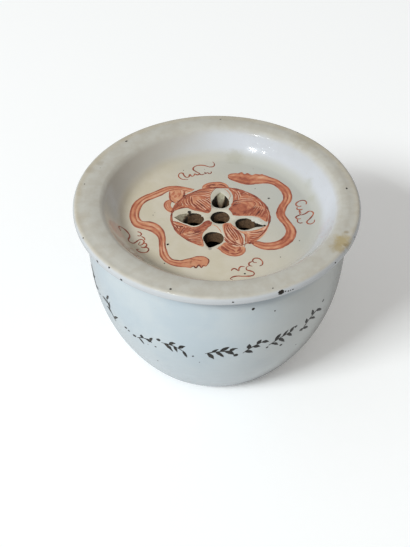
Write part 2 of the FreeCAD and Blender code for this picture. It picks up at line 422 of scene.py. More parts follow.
JAR_OUTSIDE = trace([
    (0, BASE_HOLLOW, "line"),
    (FOOT_INNER - 0.7, BASE_HOLLOW, "line"),
    (FOOT_INNER, BASE_HOLLOW - 0.7, "arc"),
    (FOOT_INNER, 0.3, "line"),
    (FOOT_INNER + 0.3, 0, "arc"),
    (FOOT_OUTER - 0.7, 0, "line"),
    (FOOT_OUTER, 0.7, "arc"),
    (FOOT_OUTER, FOOT_HEIGHT - 0.3, "line"),
    (FOOT_OUTER + 0.3, FOOT_HEIGHT, "arc"),
    (28.66, FOOT_HEIGHT, "line"),
    (30.9, 3.2, "arc"),
    (45.1, 39.3, "arc"),
    (45.6, JAR_HEIGHT - 1.5, "arc"),
    (44.1, JAR_HEIGHT, "arc"),
], 0.9)
JAR_INSIDE = [Vector((0, INSIDE_FLOOR))] + trace([
    (0, INSIDE_FLOOR, "line"),
    (21.8, INSIDE_FLOOR, "line"),
    (33.4, 13.2, "arc"),
    (41.8, 39.3, "arc"),
    (42.3, JAR_HEIGHT - 1.5, "arc"),
    (43.8, JAR_HEIGHT, "arc"),
], 1.6)[1:]
LID_OUTSIDE = trace([
    (UNDERSIDE_RADIUS, UNDERSIDE, "line"),
    (PLUG_RADIUS, 60.1, "arc"),
    (PLUG_RADIUS, SEAT - 0.3, "line"),
    (PLUG_RADIUS + 0.3, SEAT, "arc"),
    (LID_RADIUS - 0.8, SEAT, "line"),
    (LID_RADIUS, SEAT + 0.8, "arc"),
    (LID_RADIUS, SEAT + 1.6, "line"),
    (LIP_TOP_RADIUS, SEAT + 3.15, "arc"),
    (RIM_RADIUS, RIM_TOP, "arc"),
], 0.35)
DISH = trace([
    (DISH_RADIUS, DISH_FLOOR, "line"),
    (DISH_BEND_RADIUS, DISH_FLOOR + 1.45, "arc"),
    (DISH_EDGE_RADIUS, DISH_FLOOR + 7.2, "arc"),
    (DISH_RIM_RADIUS, DISH_FLOOR + 9.0, "arc"),
], 0.5)


def hand_turned(angle, height):
    """A thrown pot's slight departure from round, in millimetres."""
    return 0.07 * math.sin(2 * angle + 0.9 + height / 30) + 0.05 * math.sin(3 * angle + 2.2 - height / 21)


def ring(radius, height, segments, shift=0.0):
    """One turned circle, a little out of round."""
    points = []
    for k in range(segments):
        angle = FULL_TURN * k / segments
        wide = radius + hand_turned(angle, height) * smooth(15, 35, radius)
        points.append((shift + wide * math.cos(angle), wide * math.sin(angle), height))
    return points


def make_jar(glaze, bare, inner):
    """The jar: glazed outside, bare at the foot ring and the mouth, and earthy inside."""
    shape = Shape()
    profile = JAR_OUTSIDE + JAR_INSIDE[::-1]
    centre = shape.add([(0, 0, profile[0].y)])[0]
    rows = [shape.add(ring(p.x, p.y, JAR_SEGMENTS)) for p in profile[1:-1]]
    shape.fan(centre, rows[0], up=False)
    inside_start = rows[len(JAR_OUTSIDE) - 1][0]
    for low, high, p, q in zip(rows, rows[1:], profile[1:], profile[2:]):
        foot = max(p.y, q.y) < BARE_FOOT and p.x > FOOT_INNER - 0.1
        mouth = min(p.y, q.y) > JAR_HEIGHT - BARE_MOUTH and p.x < BARE_MOUTH_RADIUS
        within = low[0] >= inside_start
        shape.bridge(low, high, 1 if foot or mouth else 2 if within else 0)
    top = shape.add([(0, 0, INSIDE_FLOOR)])[0]
    shape.fan(top, rows[-1], up=True, finish=2)
    return shape.build("jar_glazed_body", "jar", [glaze, bare, inner], node="jar_body")


def pierce(shape, edge, depth, radius, shift, spread, level, spacing, seed):
    """A face between an edge row and the holes. Returns the vertices round each hole.

    depth is 0 for the dish floor and 1 for the underside. radius and shift say where the face ends.
    """
    def is_open(point, margin):
        if (point - Vector((shift, 0))).length > radius + 0.2 - margin:
            return False
        return not any(hole.holds(point, depth, spread + margin) for hole in HOLES)

    outlines = [[Vector(shape.points[i][:2]) for i in edge]] + [hole.loop(depth, spread) for hole in HOLES]
    points, triangles = fill(outlines, is_open, spacing, seed)
    numbers = edge + shape.add([(p.x, p.y, level(p)) for p in points[len(edge):]])
    for triangle in triangles:
        a, b, c = [numbers[i] for i in triangle]
        shape.face((a, c, b) if depth else (a, b, c), depth)
    starts = range(len(edge), len(edge) + HOLE_SEGMENTS * len(HOLES), HOLE_SEGMENTS)
    return [numbers[start:start + HOLE_SEGMENTS] for start in starts]


def make_lid(glaze, bare, cut):
    """The lid: underside, plug, seat, lip, rim, slope, and a pierced floor."""
    shape = Shape()
    rows = [shape.add(ring(p.x, p.y, LID_SEGMENTS)) for p in LID_OUTSIDE]
    rows.append(shape.add(ring(CREST_RADIUS, RIM_TOP + 0.03, LID_SEGMENTS, DISH_SHIFT / 2)))
    slope = [p for p in reversed(DISH) if p.y < RIM_TOP - 0.02]
    rows.extend(shape.add(ring(p.x, p.y, LID_SEGMENTS, DISH_SHIFT)) for p in slope)
    hidden = [p.y <= SEAT + 0.01 and p.x < LID_RADIUS - 1.0 for p in LID_OUTSIDE[1:]]
    for number, (low, high) in enumerate(zip(rows, rows[1:])):
        shape.bridge(low, high, 1 if number < len(hidden) and hidden[number] else 0)
    mouths = pierce(shape, rows[-1], 0, DISH_RADIUS, DISH_SHIFT, HOLE_FLARE, floor_level, 1.5, seed=5)
    ends = pierce(shape, rows[0], 1, UNDERSIDE_RADIUS, 0, HOLE_FLARE * 0.7, lambda p: UNDERSIDE, 3.0, seed=6)
    cut_rows = [(GLAZE_END + CUT_SPAN * step / CUT_ROWS, 0.0) for step in range(1, CUT_ROWS + 1)]
    for hole, mouth, end in zip(HOLES, mouths, ends):
        last = mouth
        for share, spread in list(GLAZED_EDGE) + cut_rows:
            height = DISH_FLOOR - share * (DISH_FLOOR - UNDERSIDE)
            row = shape.add([(p.x, p.y, height) for p in hole.loop(share, spread)], hole.tones(share))
            shape.bridge(last, row, 0 if share <= GLAZE_END else 2)
            last = row
        shape.bridge(last, end, 2)
    return shape.build("pierced_lid", "cover", [glaze, bare, cut], node="lid", crease=50)


# Places on the surfaces, for what is painted on them: across, along, and height above the glaze

SINK = 0.05  # how far a painted layer's underside goes below the glaze


def on_floor(u, v, lift):
    """A place on the dish floor, by its x and y."""
    return (u, v, floor_level(Vector((u, v))) + lift)


class Wall:
    """A turned surface, measured from a place on it: round it, and along its profile."""

    def __init__(self, profile, angle, radius, height):
        self.profile = profile
        self.angle = math.radians(angle)
        self.lengths = [0.0]
        for a, b in zip(profile, profile[1:]):
            self.lengths.append(self.lengths[-1] + (b - a).length)
        target = Vector((radius, height))
        nearest = min(range(len(profile)), key=lambda k: (profile[k] - target).length)
        self.start = self.lengths[nearest]
        self.radius = profile[nearest].x

    def __call__(self, u, v, lift):
        at = self.start + v
        piece = max(k for k in range(len(self.lengths) - 1) if self.lengths[k] <= at)
        a, b = self.profile[piece], self.profile[piece + 1]
        along = (b - a).normalized()
        spot = a + along * (at - self.lengths[piece]) + Vector((along.y, -along.x)) * lift
        angle = self.angle + u / self.radius
        wide = spot.x + hand_turned(angle, spot.y)
        return (wide * math.cos(angle), wide * math.sin(angle), spot.y)


# Brush work

LINE_LIFT = 0.085
WASH_LIFT = 0.03
BRUSH_STEP = 0.3
BAND_STEP = 0.4
BLOT_CORNERS = 11
UNEVEN = 0.22  # how far a line's width and a spot's edge vary
# a brush line's section: share of its half width, and of its lift, where 0 is the underside
BRUSH_SECTION = ((-1, 0), (-0.95, 0.35), (-0.45, 1), (0.45, 1), (0.95, 0.35), (1, 0))


def brush_line(shape, points, width, tone, place=on_floor, lift=LINE_LIFT, taper=0.25, seed=None,
               belly=False):
    """A raised brush line that thins towards its ends, closed underneath. A belly makes it a leaf."""
    path = curve(points, BRUSH_STEP)
    vary = wander(seed if seed is not None else repr(points[0]), 3, 6.0)
    fade = wander(repr(points[-1]), 2, 9.0)
    rows = []
    count = len(path)
    for k, spot in enumerate(path):
        along = (path[min(k + 1, count - 1)] - path[max(k - 1, 0)]).normalized()
        side = Vector((-along.y, along.x))
        share = k / (count - 1)
        full = math.sin(math.pi * share**0.8) if belly else min(1.0, 5 * share, 5 * (1 - share)) ** 0.6
        thin = taper + (1 - taper) * full
        half = width / 2 * thin * (1 + UNEVEN * vary(k * BRUSH_STEP))
        row = []
        for across, rise in BRUSH_SECTION:
            at = spot - side * half * across
            row.append(place(at.x, at.y, lift * rise if rise else -SINK))
        rows.append(shape.add(row, clamp(tone + 0.12 * fade(k * BRUSH_STEP))))
    shape.tube(rows)


def wash(shape, outline, tone, seed, lift=WASH_LIFT, spacing=0.55):
    """A thin closed layer of colour inside an outline. tone gives its tone at a point."""
    edge = curve(outline, spacing, closed=True)
    if sum(a.x * b.y - b.x * a.y for a, b in zip(edge, edge[1:] + edge[:1])) < 0:
        edge = edge[::-1]

    def is_open(point, margin):
        if not inside(point, edge):
            return False
        return margin == 0 or min((point - p).length for p in edge) > margin

    points, triangles = fill([edge], is_open, spacing, seed)
    tones = [clamp(tone(p)) for p in points]
    border = len(edge)
    rises = [lift * 0.6] * border + [lift] * (len(points) - border)
    top = shape.add([on_floor(p.x, p.y, rise) for p, rise in zip(points, rises)], tones)
    low = shape.add([on_floor(p.x, p.y, -SINK) for p in points], tones)
    for a, b, c in triangles:
        shape.face((top[a], top[b], top[c]))
        shape.face((low[a], low[c], low[b]))
    shape.bridge(low[:border], top[:border])


def washes(shape, name, outlines, wave, depth, seed, lift=WASH_LIFT, spacing=0.55):
    """A wash for each row of an outline and its tone, which varies by depth over a wave's length."""
    for number, (outline, general) in enumerate(outlines):
        vary = wander(f"{name} {number}", 3, wave)
        wash(shape, pairs(outline), lambda p: general + depth * vary(p.x + 0.6 * p.y), seed + number, lift,
             spacing)


def band(shape, left, right, tones, seed, end=None):
    """A ribbon between two edges. tones go across it, drift along it, and may reach one end tone."""
    left, right = curve(left, BAND_STEP), curve(right, BAND_STEP)
    count = max(len(left), len(right))
    left, right = resample(left, count), resample(right, count)
    drift = wander(seed, 4, 22.0)
    streak = wander(seed + 1, 3, 5.0)
    last = len(tones) - 1
    rows = []
    for k, (a, b) in enumerate(zip(left, right)):
        row = []
        shades = []
        for column, tone in enumerate(tones):
            share = column / last
            at = a.lerp(b, share)
            row.append(on_floor(at.x, at.y, WASH_LIFT * (0.5 if column in (0, last) else 1)))
            shade = tone + 0.1 * drift(k * BAND_STEP) + 0.06 * streak(k * BAND_STEP + 3 * share)
            if end is not None:
                shade = lerp(shade, end, smooth(7.0, 0.0, (count - 1 - k) * BAND_STEP))
            shades.append(clamp(shade))
        row += [on_floor(at.x, at.y, -SINK) for at in (b, a)]
        shades += [tones[0], tones[0]]
        rows.append(shape.add(row, shades))
    shape.tube(rows[::-1])


def blot(shape, place, size, tone, seed, lift=0.06, long=1.0, lean=0.0):
    """A small raised spot with an uneven edge."""
    vary = wander(seed, 3, FULL_TURN)
    outer = []
    inner = []
    for k in range(BLOT_CORNERS):
        angle = FULL_TURN * k / BLOT_CORNERS
        reach = size / 2 * (1 + UNEVEN * vary(angle))
        u, v = reach * long * math.cos(angle), reach * math.sin(angle)
        u, v = u * math.cos(lean) - v * math.sin(lean), u * math.sin(lean) + v * math.cos(lean)
        outer.append((u, v))
        inner.append((u * 0.6, v * 0.6))
    low = shape.add([place(u, v, -SINK) for u, v in outer], tone)
    edge = shape.add([place(u, v, lift * 0.4) for u, v in outer], tone)
    top = shape.add([place(u, v, lift) for u, v in inner], tone)
    shape.bridge(low, edge)
    shape.bridge(edge, top)
    shape.fan(shape.add([place(0, 0, lift)], tone)[0], top, up=True)
    shape.fan(shape.add([place(0, 0, -SINK)], tone)[0], low, up=False)


def floor_spot(x, y):
    """Places round a point of the dish floor."""
    return lambda u, v, lift: on_floor(x + u, y + v, lift)


# The painted ball: washed and hatched quarters between white leaves

BALL_CENTRE = Vector((1.3, 0.6))
BALL_ACROSS = 17.3
BALL_DEEP = 16.4
BALL_SPACING = 0.45
# outline, dark root, and the wash's general tone
QUARTERS = [
    ("-2.6 2.9 -1.9 4.6 -2.1 7.2 -2.5 10.2 -2.4 12.8 -1.7 15 -0.9 16.6 -4.5 15.7 -8 14.2 -10.8 12.1 -13.2 "
     "9.2 -15 6.2 -15.4 4.1 -13.2 5.2 -10.6 5.9 -8.9 5 -7.2 4 -5.2 3.3 -3.6 2.7", (-3.3, 4.3), 0.38),
    ("4.2 4.7 5.2 6.6 5.7 9 6 11.5 5.6 14 4.4 16.4 8 15.6 11.5 13.7 14.5 11 16.8 7.4 18.2 3.4 18.4 "
     "-0.6 17.3 -2 15.8 -0.2 13.6 1.2 10.6 1.3 8 1.1 6.2 1.5 5.8 2.9", (7, 4.4), 0.44),
    ("2 -3.6 2.2 -6.5 2.7 -9.2 2.5 -11.2 4 -13.4 6.2 -14.9 8.6 -15.2 9.2 -13 9.2 -10.6 8.5 -8.6 "
     "7.2 -6.8 6 -4.9 4.8 -3 3.4 -2.7", (3.6, -4.4), 0.06),
    ("7.2 -6.2 9.2 -7.3 12 -6.9 14.8 -5.8 17.6 -4.2 17.6 -6.4 16 -9.4 13.9 -11.8 12 -13.4 10.2 "
     "-13.4 10.3 -11 9.9 -9 8.6 -7.9", (12, -12), 0.14),
    ("-2.6 -1.3 -4.4 -1.9 -5.5 -3.4 -7.2 -4.6 -9.3 -4.5 -11.2 -3.6 -13.4 -2.3 -15.9 -1.6 -15.3 "
     "-4.8 -13.6 -8.2 -11.2 -11 -8.2 -13.3 -4.9 -15.1 -4.7 -13 -5.2 -10.6 -5 -8.2 -4.2 -6.4 -3 -5 "
     "-1.9 -3.6", (-3.6, -3.2), 0.5),
]
# outline and tone of the fuller washes over them
PATCHES = [
    ("4.3 4.9 5.6 5.4 6.9 6.4 8.2 7.2 10.2 7.7 10.7 6.2 10.5 4.6 8.7 3.6 7.9 1.9 6.7 1.4 5.7 1.5 5.3 "
     "2.8", 0.62),
    ("8.2 8.9 10.5 9.4 13 9.2 14 7.7 13 5.8 11.7 5.2 10.8 7.4", 0.42),
    ("-1.9 -1.9 -1.9 -3.4 -3.4 -4.5 -5.4 -5.5 -6.8 -5 -5.4 -3.7 -3.9 -2.6", 0.66),
    ("-11.5 -7.4 -9.2 -6.9 -6.9 -7.6 -6.7 -9 -8.6 -9.8 -11 -9.7", 0.3),
    ("-2.3 5.3 -2.4 3.5 -3.6 2.9 -4.6 3.9 -4.1 5.2 -3 6", 0.62),
    ("2.5 -3.5 2.6 -5.4 4 -6.4 5.2 -5.6 4.8 -3.7 3.8 -2.9", 0.6),
    ("10.6 -10.6 12.3 -10 13.2 -11.1 12.2 -12.8 11 -13.2 10.4 -12.3", 0.6),
    ("8 13.9 9.6 14.2 12 12.9 14 11.2 13.2 10.6 11 11.8 8.6 12.2", 0.56),
]
# the lines that fill the ball, in groups: width, tone, and their places
STROKES = [
    (0.46, 0.76, "-7.9 8.8 -5.8 6.2 -3.6 3.5, -7.4 9.8 -5 6.9 -3.1 4.6, -6.4 10 -4.4 7.5 -2.6 5.2, -5.5 "
     "10.1 -3.6 8.3 -2.3 6.4, -4.6 10.3 -3.1 9.3 -2.2 7.8, -8.2 7.9 -6.8 5.9 -4.2 3.4, -9 11.6 -8.8 9 -8 "
     "6.8 -6.2 4.8 -4.4 3.4, -3.7 10.7 -2.9 10.1 -2.3 9.2"),
    (0.55, 0.68, "-9.7 12 -9.8 9 -9.1 6.9 -7.6 5.1, -10.4 12.5 -10.8 9.6 -10.2 7.3 -8.9 5.6, -11.2 12 "
     "-11.8 9.6 -11.4 7.8 -10.4 6.4, -12.2 10.6 -12.9 8.4 -12.4 6.6"),
    (0.5, 0.7, "-9.5 12.8 -6.7 13.2 -3.9 12.7 -2.4 11.9, -8.7 11.9 -6.2 12.2 -3.6 11.6 -2.4 11, -9.1 13.5 "
     "-6.8 13.9 -4.4 14 -2.3 13.3, -8 14.2 -5.7 14.6 -3.4 14.6 -2 14.2, -6.9 15 -5 15.4 -2.7 15.5 -1.5 "
     "15.1, -10.6 11.4 -9.4 12.6 -8.2 13.1"),
    (0.42, 0.78, "5.5 6.3 6.8 7.6 8.8 7.9, 5.2 7 6 8.2 7.4 8.9, 5.7 8.4 7 9.6 9.2 10, 5.9 7.7 7.9 8.7 10.4 "
     "9.2 12.8 9.2, 13 9.1 13.9 7.8 13 5.8 11.5 3.5 10 1.7"),
    (0.5, 0.78, "10.7 1.4 12 3.6 14.1 6.5, 11.5 1.3 13.1 3.7 14.7 6.3, 12.5 1.2 14.1 3.5 15.4 6.2, 10.1 "
     "2.1 11.3 3.8 13.2 6, 13.5 1.1 14.8 3.2 16.1 5.8, 14.5 0.9 15.6 2.7 16.6 5, 9.4 2 10.2 3.6 11.8 5.6, "
     "15.4 0.4 16.5 2.2 17.3 4, 13.6 9.6 15 8.4 15.6 6.6, 14.6 10.2 16 8.2 16.6 6"),
    (0.5, 0.74, "16.2 -0.4 17.1 1.6 17.5 3.8 16.9 6.4, 17.4 -1.7 17.9 0.6 17.8 3.2"),
    (0.46, 0.7, "7.3 9.6 7.6 11.4 6.9 13.6 5.6 15.3, 6.3 10 6.6 12.2 6 14.3 4.9 16, 8.2 11.2 8 13 7.4 "
     "14.8, 8.2 13.4 10 13.2 11.8 12.7 13.6 11.4, 7.9 14.7 9.4 14.3 11 13.3, 8.4 11.5 10.2 11.1 12 11.2 14 "
     "10.4, 8.2 10.4 10.5 10.1 13.2 10.1, 8.9 12.4 10.6 12.1 12.6 11.8, 6.8 15.4 8.2 15.2 9.8 14.6"),
    (0.42, 0.74, "3 -3.8 2.7 -5.8 3 -7.8 3.7 -9.4, 3.6 -3.8 4.1 -5.9 5.4 -8.5 6.6 -11.3, 4.1 -3.6 4.8 -5.7 "
     "6.3 -8.4 7.3 -11.4, 4.7 -3.7 5.7 -5.7 7.2 -8.3 8 -11.3 8.3 -13.8, 3.2 -5.4 4.1 -7.8 5.4 -10.4 6.7 "
     "-13.1, 2.6 -7.2 3.4 -9.8 4.8 -12.2 6.6 -14.2, 2.5 -10.1 3.7 -12.1 5.6 -13.9 7.9 -14.9, 2.5 -11.2 3.7 "
     "-12.9 5.4 -14.4, 2.9 -9 4.4 -11.3 6.3 -13.2 8.2 -14.3, 5.4 -5 7.4 -7.5 8.6 -10.4 8.8 -13.2 8.4 -14.7"),
    (0.5, 0.72, "11.4 -7.8 13.8 -7.6 16.2 -6.8, 11.2 -8.8 13.8 -8.6 16.1 -7.5 17 -6.3, 11.2 -9.8 13.4 -9.6 "
     "15.5 -8.6, 11.4 -10.8 13.3 -10.5 14.9 -9.6, 10.9 -11.9 12.4 -11.5 13.8 -10.8, 10.6 -12.8 11.8 -12.6 "
     "12.8 -11.8, 9.7 -8.4 10 -10.4 9.8 -12.6"),
    (0.5, 0.76, "-3.1 -3.2 -5.2 -4.7 -6.9 -6 -8.8 -7.1, -3.8 -4.6 -6 -6.2 -8 -7.5, -4.5 -5.8 -6.4 -7.2 "
     "-8.6 -8.4 -10.6 -8.6, -8.8 -5.2 -10 -6.2 -11.3 -7.9, -9.8 -4.8 -11 -6.1 -12.1 -8.2, -7.6 -5.6 -9.2 "
     "-6.4 -10.4 -7.4, -11 -4.6 -12 -6.4 -12.8 -8.6, -4.8 -7.4 -6.6 -8.6 -8.8 -9.2"),
    (0.62, 0.88, "-15.5 -2.7 -13.9 -4.1 -11.7 -4.5, -15.1 -4.2 -14.2 -5.8 -13.5 -7.8, -12.6 -4.7 -12.8 "
     "-6.2 -13.4 -7.8, -13.9 -4.4 -13.6 -5.8"),
    (0.52, 0.72, "-11.5 -9.2 -9.4 -9.7 -7.2 -9.5 -5.6 -8.6, -11 -10.2 -9 -10.6 -6.8 -10.5 -5.4 -9.9, -10.2 "
     "-11.2 -8.4 -11.6 -6.4 -11.3 -5.4 -10.9, -9.3 -12.1 -7.6 -12.4 -5.6 -12, -8.4 -12.9 -7 -13 -5.4 "
     "-12.9, -7.2 -13.6 -6.2 -13.8 -5.1 -13.8"),
]
PALE_STEP = (0.32, 0.38)  # from each line to the pale streak beside it
# thin outlines of the white leaves: points, width, tone
LEAF_LINES = [
    ("-2.3 9.6 -2.3 12.4 -1.6 14.6 -0.4 16.4", 0.3, 0.6),
    ("5.9 9.6 6 12 5.5 14.2 4.4 16", 0.3, 0.55),
    ("4.3 10 4.9 12.2 4.2 14.6 2.8 16.2", 0.26, 0.35),
    ("-15.5 3.9 -13.3 5.1 -10.8 5.9 -9 5 -7.2 4", 0.5, 0.74),
    ("-15.8 -1.6 -13.4 -2.3 -11.2 -3.6 -9.3 -4.5", 0.45, 0.72),
    ("9.6 1.2 12.4 1.3 15 0.2 17.2 -1.9", 0.3, 0.5),
    ("8.8 -7.2 12 -7 15 -5.8 17.6 -4", 0.3, 0.5),
    ("9.4 -8.2 9.9 -10.6 9.8 -13.2 9.3 -15.2", 0.3, 0.55),
    ("10.1 -8.6 10.5 -11 10.2 -13.6", 0.3, 0.6),
    ("-4.8 -14.8 -4.9 -12.4 -5.3 -10.2 -4.8 -7.6 -3.2 -5.4", 0.3, 0.55),
    ("-1.9 -3.6 -0.2 -4.4 0.9 -6.2 1.6 -8.2", 0.28, 0.3),
    ("4.6 -2.6 5.4 -4 6.9 -5.6", 0.4, 0.45),
]
# across, along, size and tone of each
DARK_SPOTS = rows(
    "-11.4 12.1 1.7 1, -11.2 11.1 1 0.95, -3.3 4.3 1.3 0.86, -3 3.7 1 0.86, 6.3 2.4 1.5 0.8, 5.1 4.7 1.2 "
    "0.78, 7.4 1.9 1 0.74, -2.8 -2.8 1.4 0.8, -4.2 -3.8 1.2 0.72, 11.3 -13.1 1.1 0.95, 12.2 -13.2 1 0.85, "
    "11.9 -12.2 1 0.74, -14 -4.3 0.9 0.86, -12.2 -4.6 0.9 0.88, 3.7 -4 1 0.8, 6.9 -11.4 0.7 0.84, -15.6 "
    "3.6 1.2 0.84, 9 13.4 1.3 0.72, 11.8 12.7 1.1 0.74, 14.4 11 1.2 0.78, -3.3 16.4 1.1 0.82")


def ball_outline():
    """The ball's edge, an ellipse that the brush leaves and rejoins behind the near hole."""
    angles = [math.radians(degrees) for degrees in range(-68, 256, 12)]
    return [(BALL_CENTRE.x + BALL_ACROSS * math.cos(angle), BALL_CENTRE.y + BALL_DEEP * math.sin(angle))
            for angle in angles]


def make_ball(enamel):
    """The painted ball."""
    shape = Shape()
    for number, (outline, root, general) in enumerate(QUARTERS):
        vary = wander(f"quarter {number}", 3, 8.0)
        streaks = wander(f"streaks {number}", 6, 1.1)

        def tone(p):
            away = p - Vector(root)
            near = math.exp(-(away.length / 3.6) ** 2)
            pale = streaks(math.atan2(away.y, away.x)) * min(1.0, away.length / 4)
            return general + 0.34 * near + 0.06 * vary(p.x + 0.5 * p.y) + 0.12 * pale

        wash(shape, pairs(outline), tone, number, spacing=BALL_SPACING)
    washes(shape, "patch", PATCHES, 3.0, 0.1, 20, WASH_LIFT + 0.02, BALL_SPACING)
    for number, (width, tone, lines) in enumerate(STROKES):
        dice = random.Random(f"strokes {number}")
        for line in lines.split(", "):
            places = pairs(line)
            wide, shade = width * dice.uniform(1.2, 1.7), tone + dice.uniform(-0.12, 0.06)
            brush_line(shape, places, wide, shade, seed=line)
            beside = [(x + PALE_STEP[0], y + PALE_STEP[1]) for x, y in places]
            wide, shade = width * dice.uniform(0.7, 1.2), dice.uniform(0.08, 0.24)
            brush_line(shape, beside, wide, shade, lift=WASH_LIFT + 0.035)
    for line, width, tone in LEAF_LINES:
        brush_line(shape, pairs(line), width, tone)
    brush_line(shape, ball_outline(), 0.78, 0.76, lift=LINE_LIFT + 0.02)
    for number, (x, y, size, tone) in enumerate(DARK_SPOTS):
        blot(shape, floor_spot(x, y), size, tone, f"dark spot {number}", lift=LINE_LIFT)
    return shape.build("painted_ball", "cover", [enamel])


# Ribbons, scrolls and knots round the ball

LEFT_RIBBON_OUTER = pairs(
    "-8 15.9 -11 17 -14.4 17.7 -17.6 17.4 -20 16 -23 14 -26.6 11.6 -28.9 8.9 -30.2 5.4 -30.5 2 -30.2 -1 "
    "-29.2 -3.6 -27.5 -5.1 -25 -6 -22.6 -7.2 -20.8 -9.2 -19.9 -11.6 -19.7 -14.2 -19.6 -17 -19.2 -19.8 "
    "-17.8 -22.4 -15.6 -24.2 -13 -25.2 -10.4 -25.5 -9 -25.8")
LEFT_RIBBON_INNER = pairs(
    "-9.2 14.4 -11.6 15.4 -14.4 15.8 -17.2 15 -19.8 12.8 -22.8 10.8 -25 9.4 -26.4 7.4 -27.3 4.8 -27.6 2 "
    "-27.3 -0.2 -26.2 -1.8 -23.6 -2.1 -21.2 -3.2 -19.4 -5.4 -18.3 -8.2 -18 -11 -17.9 -14.2 -17.4 -17.2 "
    "-16.6 -19.6 -15.4 -21.5 -13.2 -22.2 -11.4 -22 -9.5 -21.2 -8.4 -20.7")
LEFT_RIBBON_END = pairs(
    "-8.6 -20.8 -7 -20.2 -4.8 -20.2 -3.4 -21.1 -2.8 -22.3 -3.2 -23.9 -3.7 -25.1 -4.7 -25.2 -5.6 -25.8 -6.1 "
    "-24.9 -7.3 -25.9 -8.1 -25.3 -9.2 -25.8 -9.6 -23.2")
RIGHT_RIBBON_OUTER = pairs(
    "4.6 24.3 6.2 25 7.8 25.2 9.2 25.8 10.3 24.8 11.6 25.2 13 24.2 14.5 24.7 17.5 24 19.5 22.9 21.8 21.5 "
    "24 19.2 25.8 16.8 26.7 14 26.8 11.5 26.2 9 25 6.8 24.2 4.5 23.9 2.3 24.4 0.4 25.4 -1.8 26.5 -4 27.3 "
    "-6.5 27.2 -9 26.2 -11.6 24.3 -14 21.8 -15.8 18.8 -16.6 15.8 -16.3 13.4 -15 12 -13.6")
RIGHT_RIBBON_INNER = pairs(
    "4.2 22.9 5 21.7 7 20.5 9.5 19.3 12 18.8 14.5 19.3 17.5 19.6 19.8 19.2 21.4 18 22.8 16 23.8 13.8 24.1 "
    "11.5 23.7 9.5 22.6 7.3 21.6 4.8 21.2 2.5 21.5 0.4 22.2 -1.4 23.3 -3.2 24 -5.2 24.2 -7.4 23.4 -9.8 "
    "21.6 -11.8 19.2 -12.9 16.6 -13.1 14.3 -12.4 12.4 -12.2")
RIGHT_RIBBON_FOLD = pairs(
    "7.4 21.6 9.5 21.4 13 21.1 17.5 21.3 21 19.9 23.5 17 25.3 13.5 25.4 11 24.4 8 23.2 5 22.9 2.5 23.2 0 "
    "24.4 -3 25.3 -6 25.1 -9 23.6 -11.8 21 -13.9 18 -14.7 15 -14.3 13 -13.2")
LEFT_RIBBON_FOLD = pairs(
    "-12 16.6 -15 16.8 -18.6 15.4 -22.6 13 -26 10.4 -28.2 6.8 -28.9 3 -28.4 -0.6 -27 -3.2 -25 -4.2 -22.6 "
    "-4.8 -20.6 -6.8 -19.6 -9.6 -19.1 -13 -18.8 -16.4 -18 -19.6 -16.2 -22.2 -13.6 -23.3 -10.4 -23.1 -7.6 "
    "-22.2")
EDGE_TONES = (0.70, 0.30, 0.18, 0.24, 0.46, 0.40, 0.30, 0.42, 0.74)
RIBBON_END_TONE = 0.35

# wash outline, tone
KNOTS = [
    ("-5.2 16 -4.6 17.9 -2.6 19.5 0.5 20 2.8 19.2 4.1 17.7 4.3 16.4 2 16.9 -0.5 16.9 -3 16.4", 0.34),
    ("0.3 -15.8 2.3 -18.2 4.8 -19.7 7.4 -19.5 9.2 -17.9 9.6 -15.6 8.6 -14.9 6.4 -15.1 4.4 -14 2.8 -12.8 "
     "1.6 -14.2", 0.36),
    ("-16.9 15.6 -16.7 12.6 -16.5 10 -14.6 8.8 -12.8 9.6 -11.6 12 -11.6 14 -11.9 16.2 -14.4 16.8", 0.26),
    ("-14.2 8.2 -12.8 9.6 -11.6 9.9 -11.3 6.8 -12.6 5.8 -14 4.9 -15.2 4.2 -14.4 6", 0.46),
    ("-11.5 13.9 -10.6 15.2 -8.2 16.2 -9.6 14.9 -10.8 13.4", 0.1),
]
LOOP_OUTER = pairs(
    "-16.3 10.2 -18 9.2 -18.5 7.2 -17.8 4.9 -16.1 3.3 -15.1 3.9 -14.2 5.8 -14.1 7.7 -15.2 9.6")
LOOP_INNER = pairs(
    "-15.8 8.9 -16.3 8.2 -16.5 7 -16.2 6 -15.5 5.6 -15 6 -14.7 7 -14.9 8 -15.5 8.8")
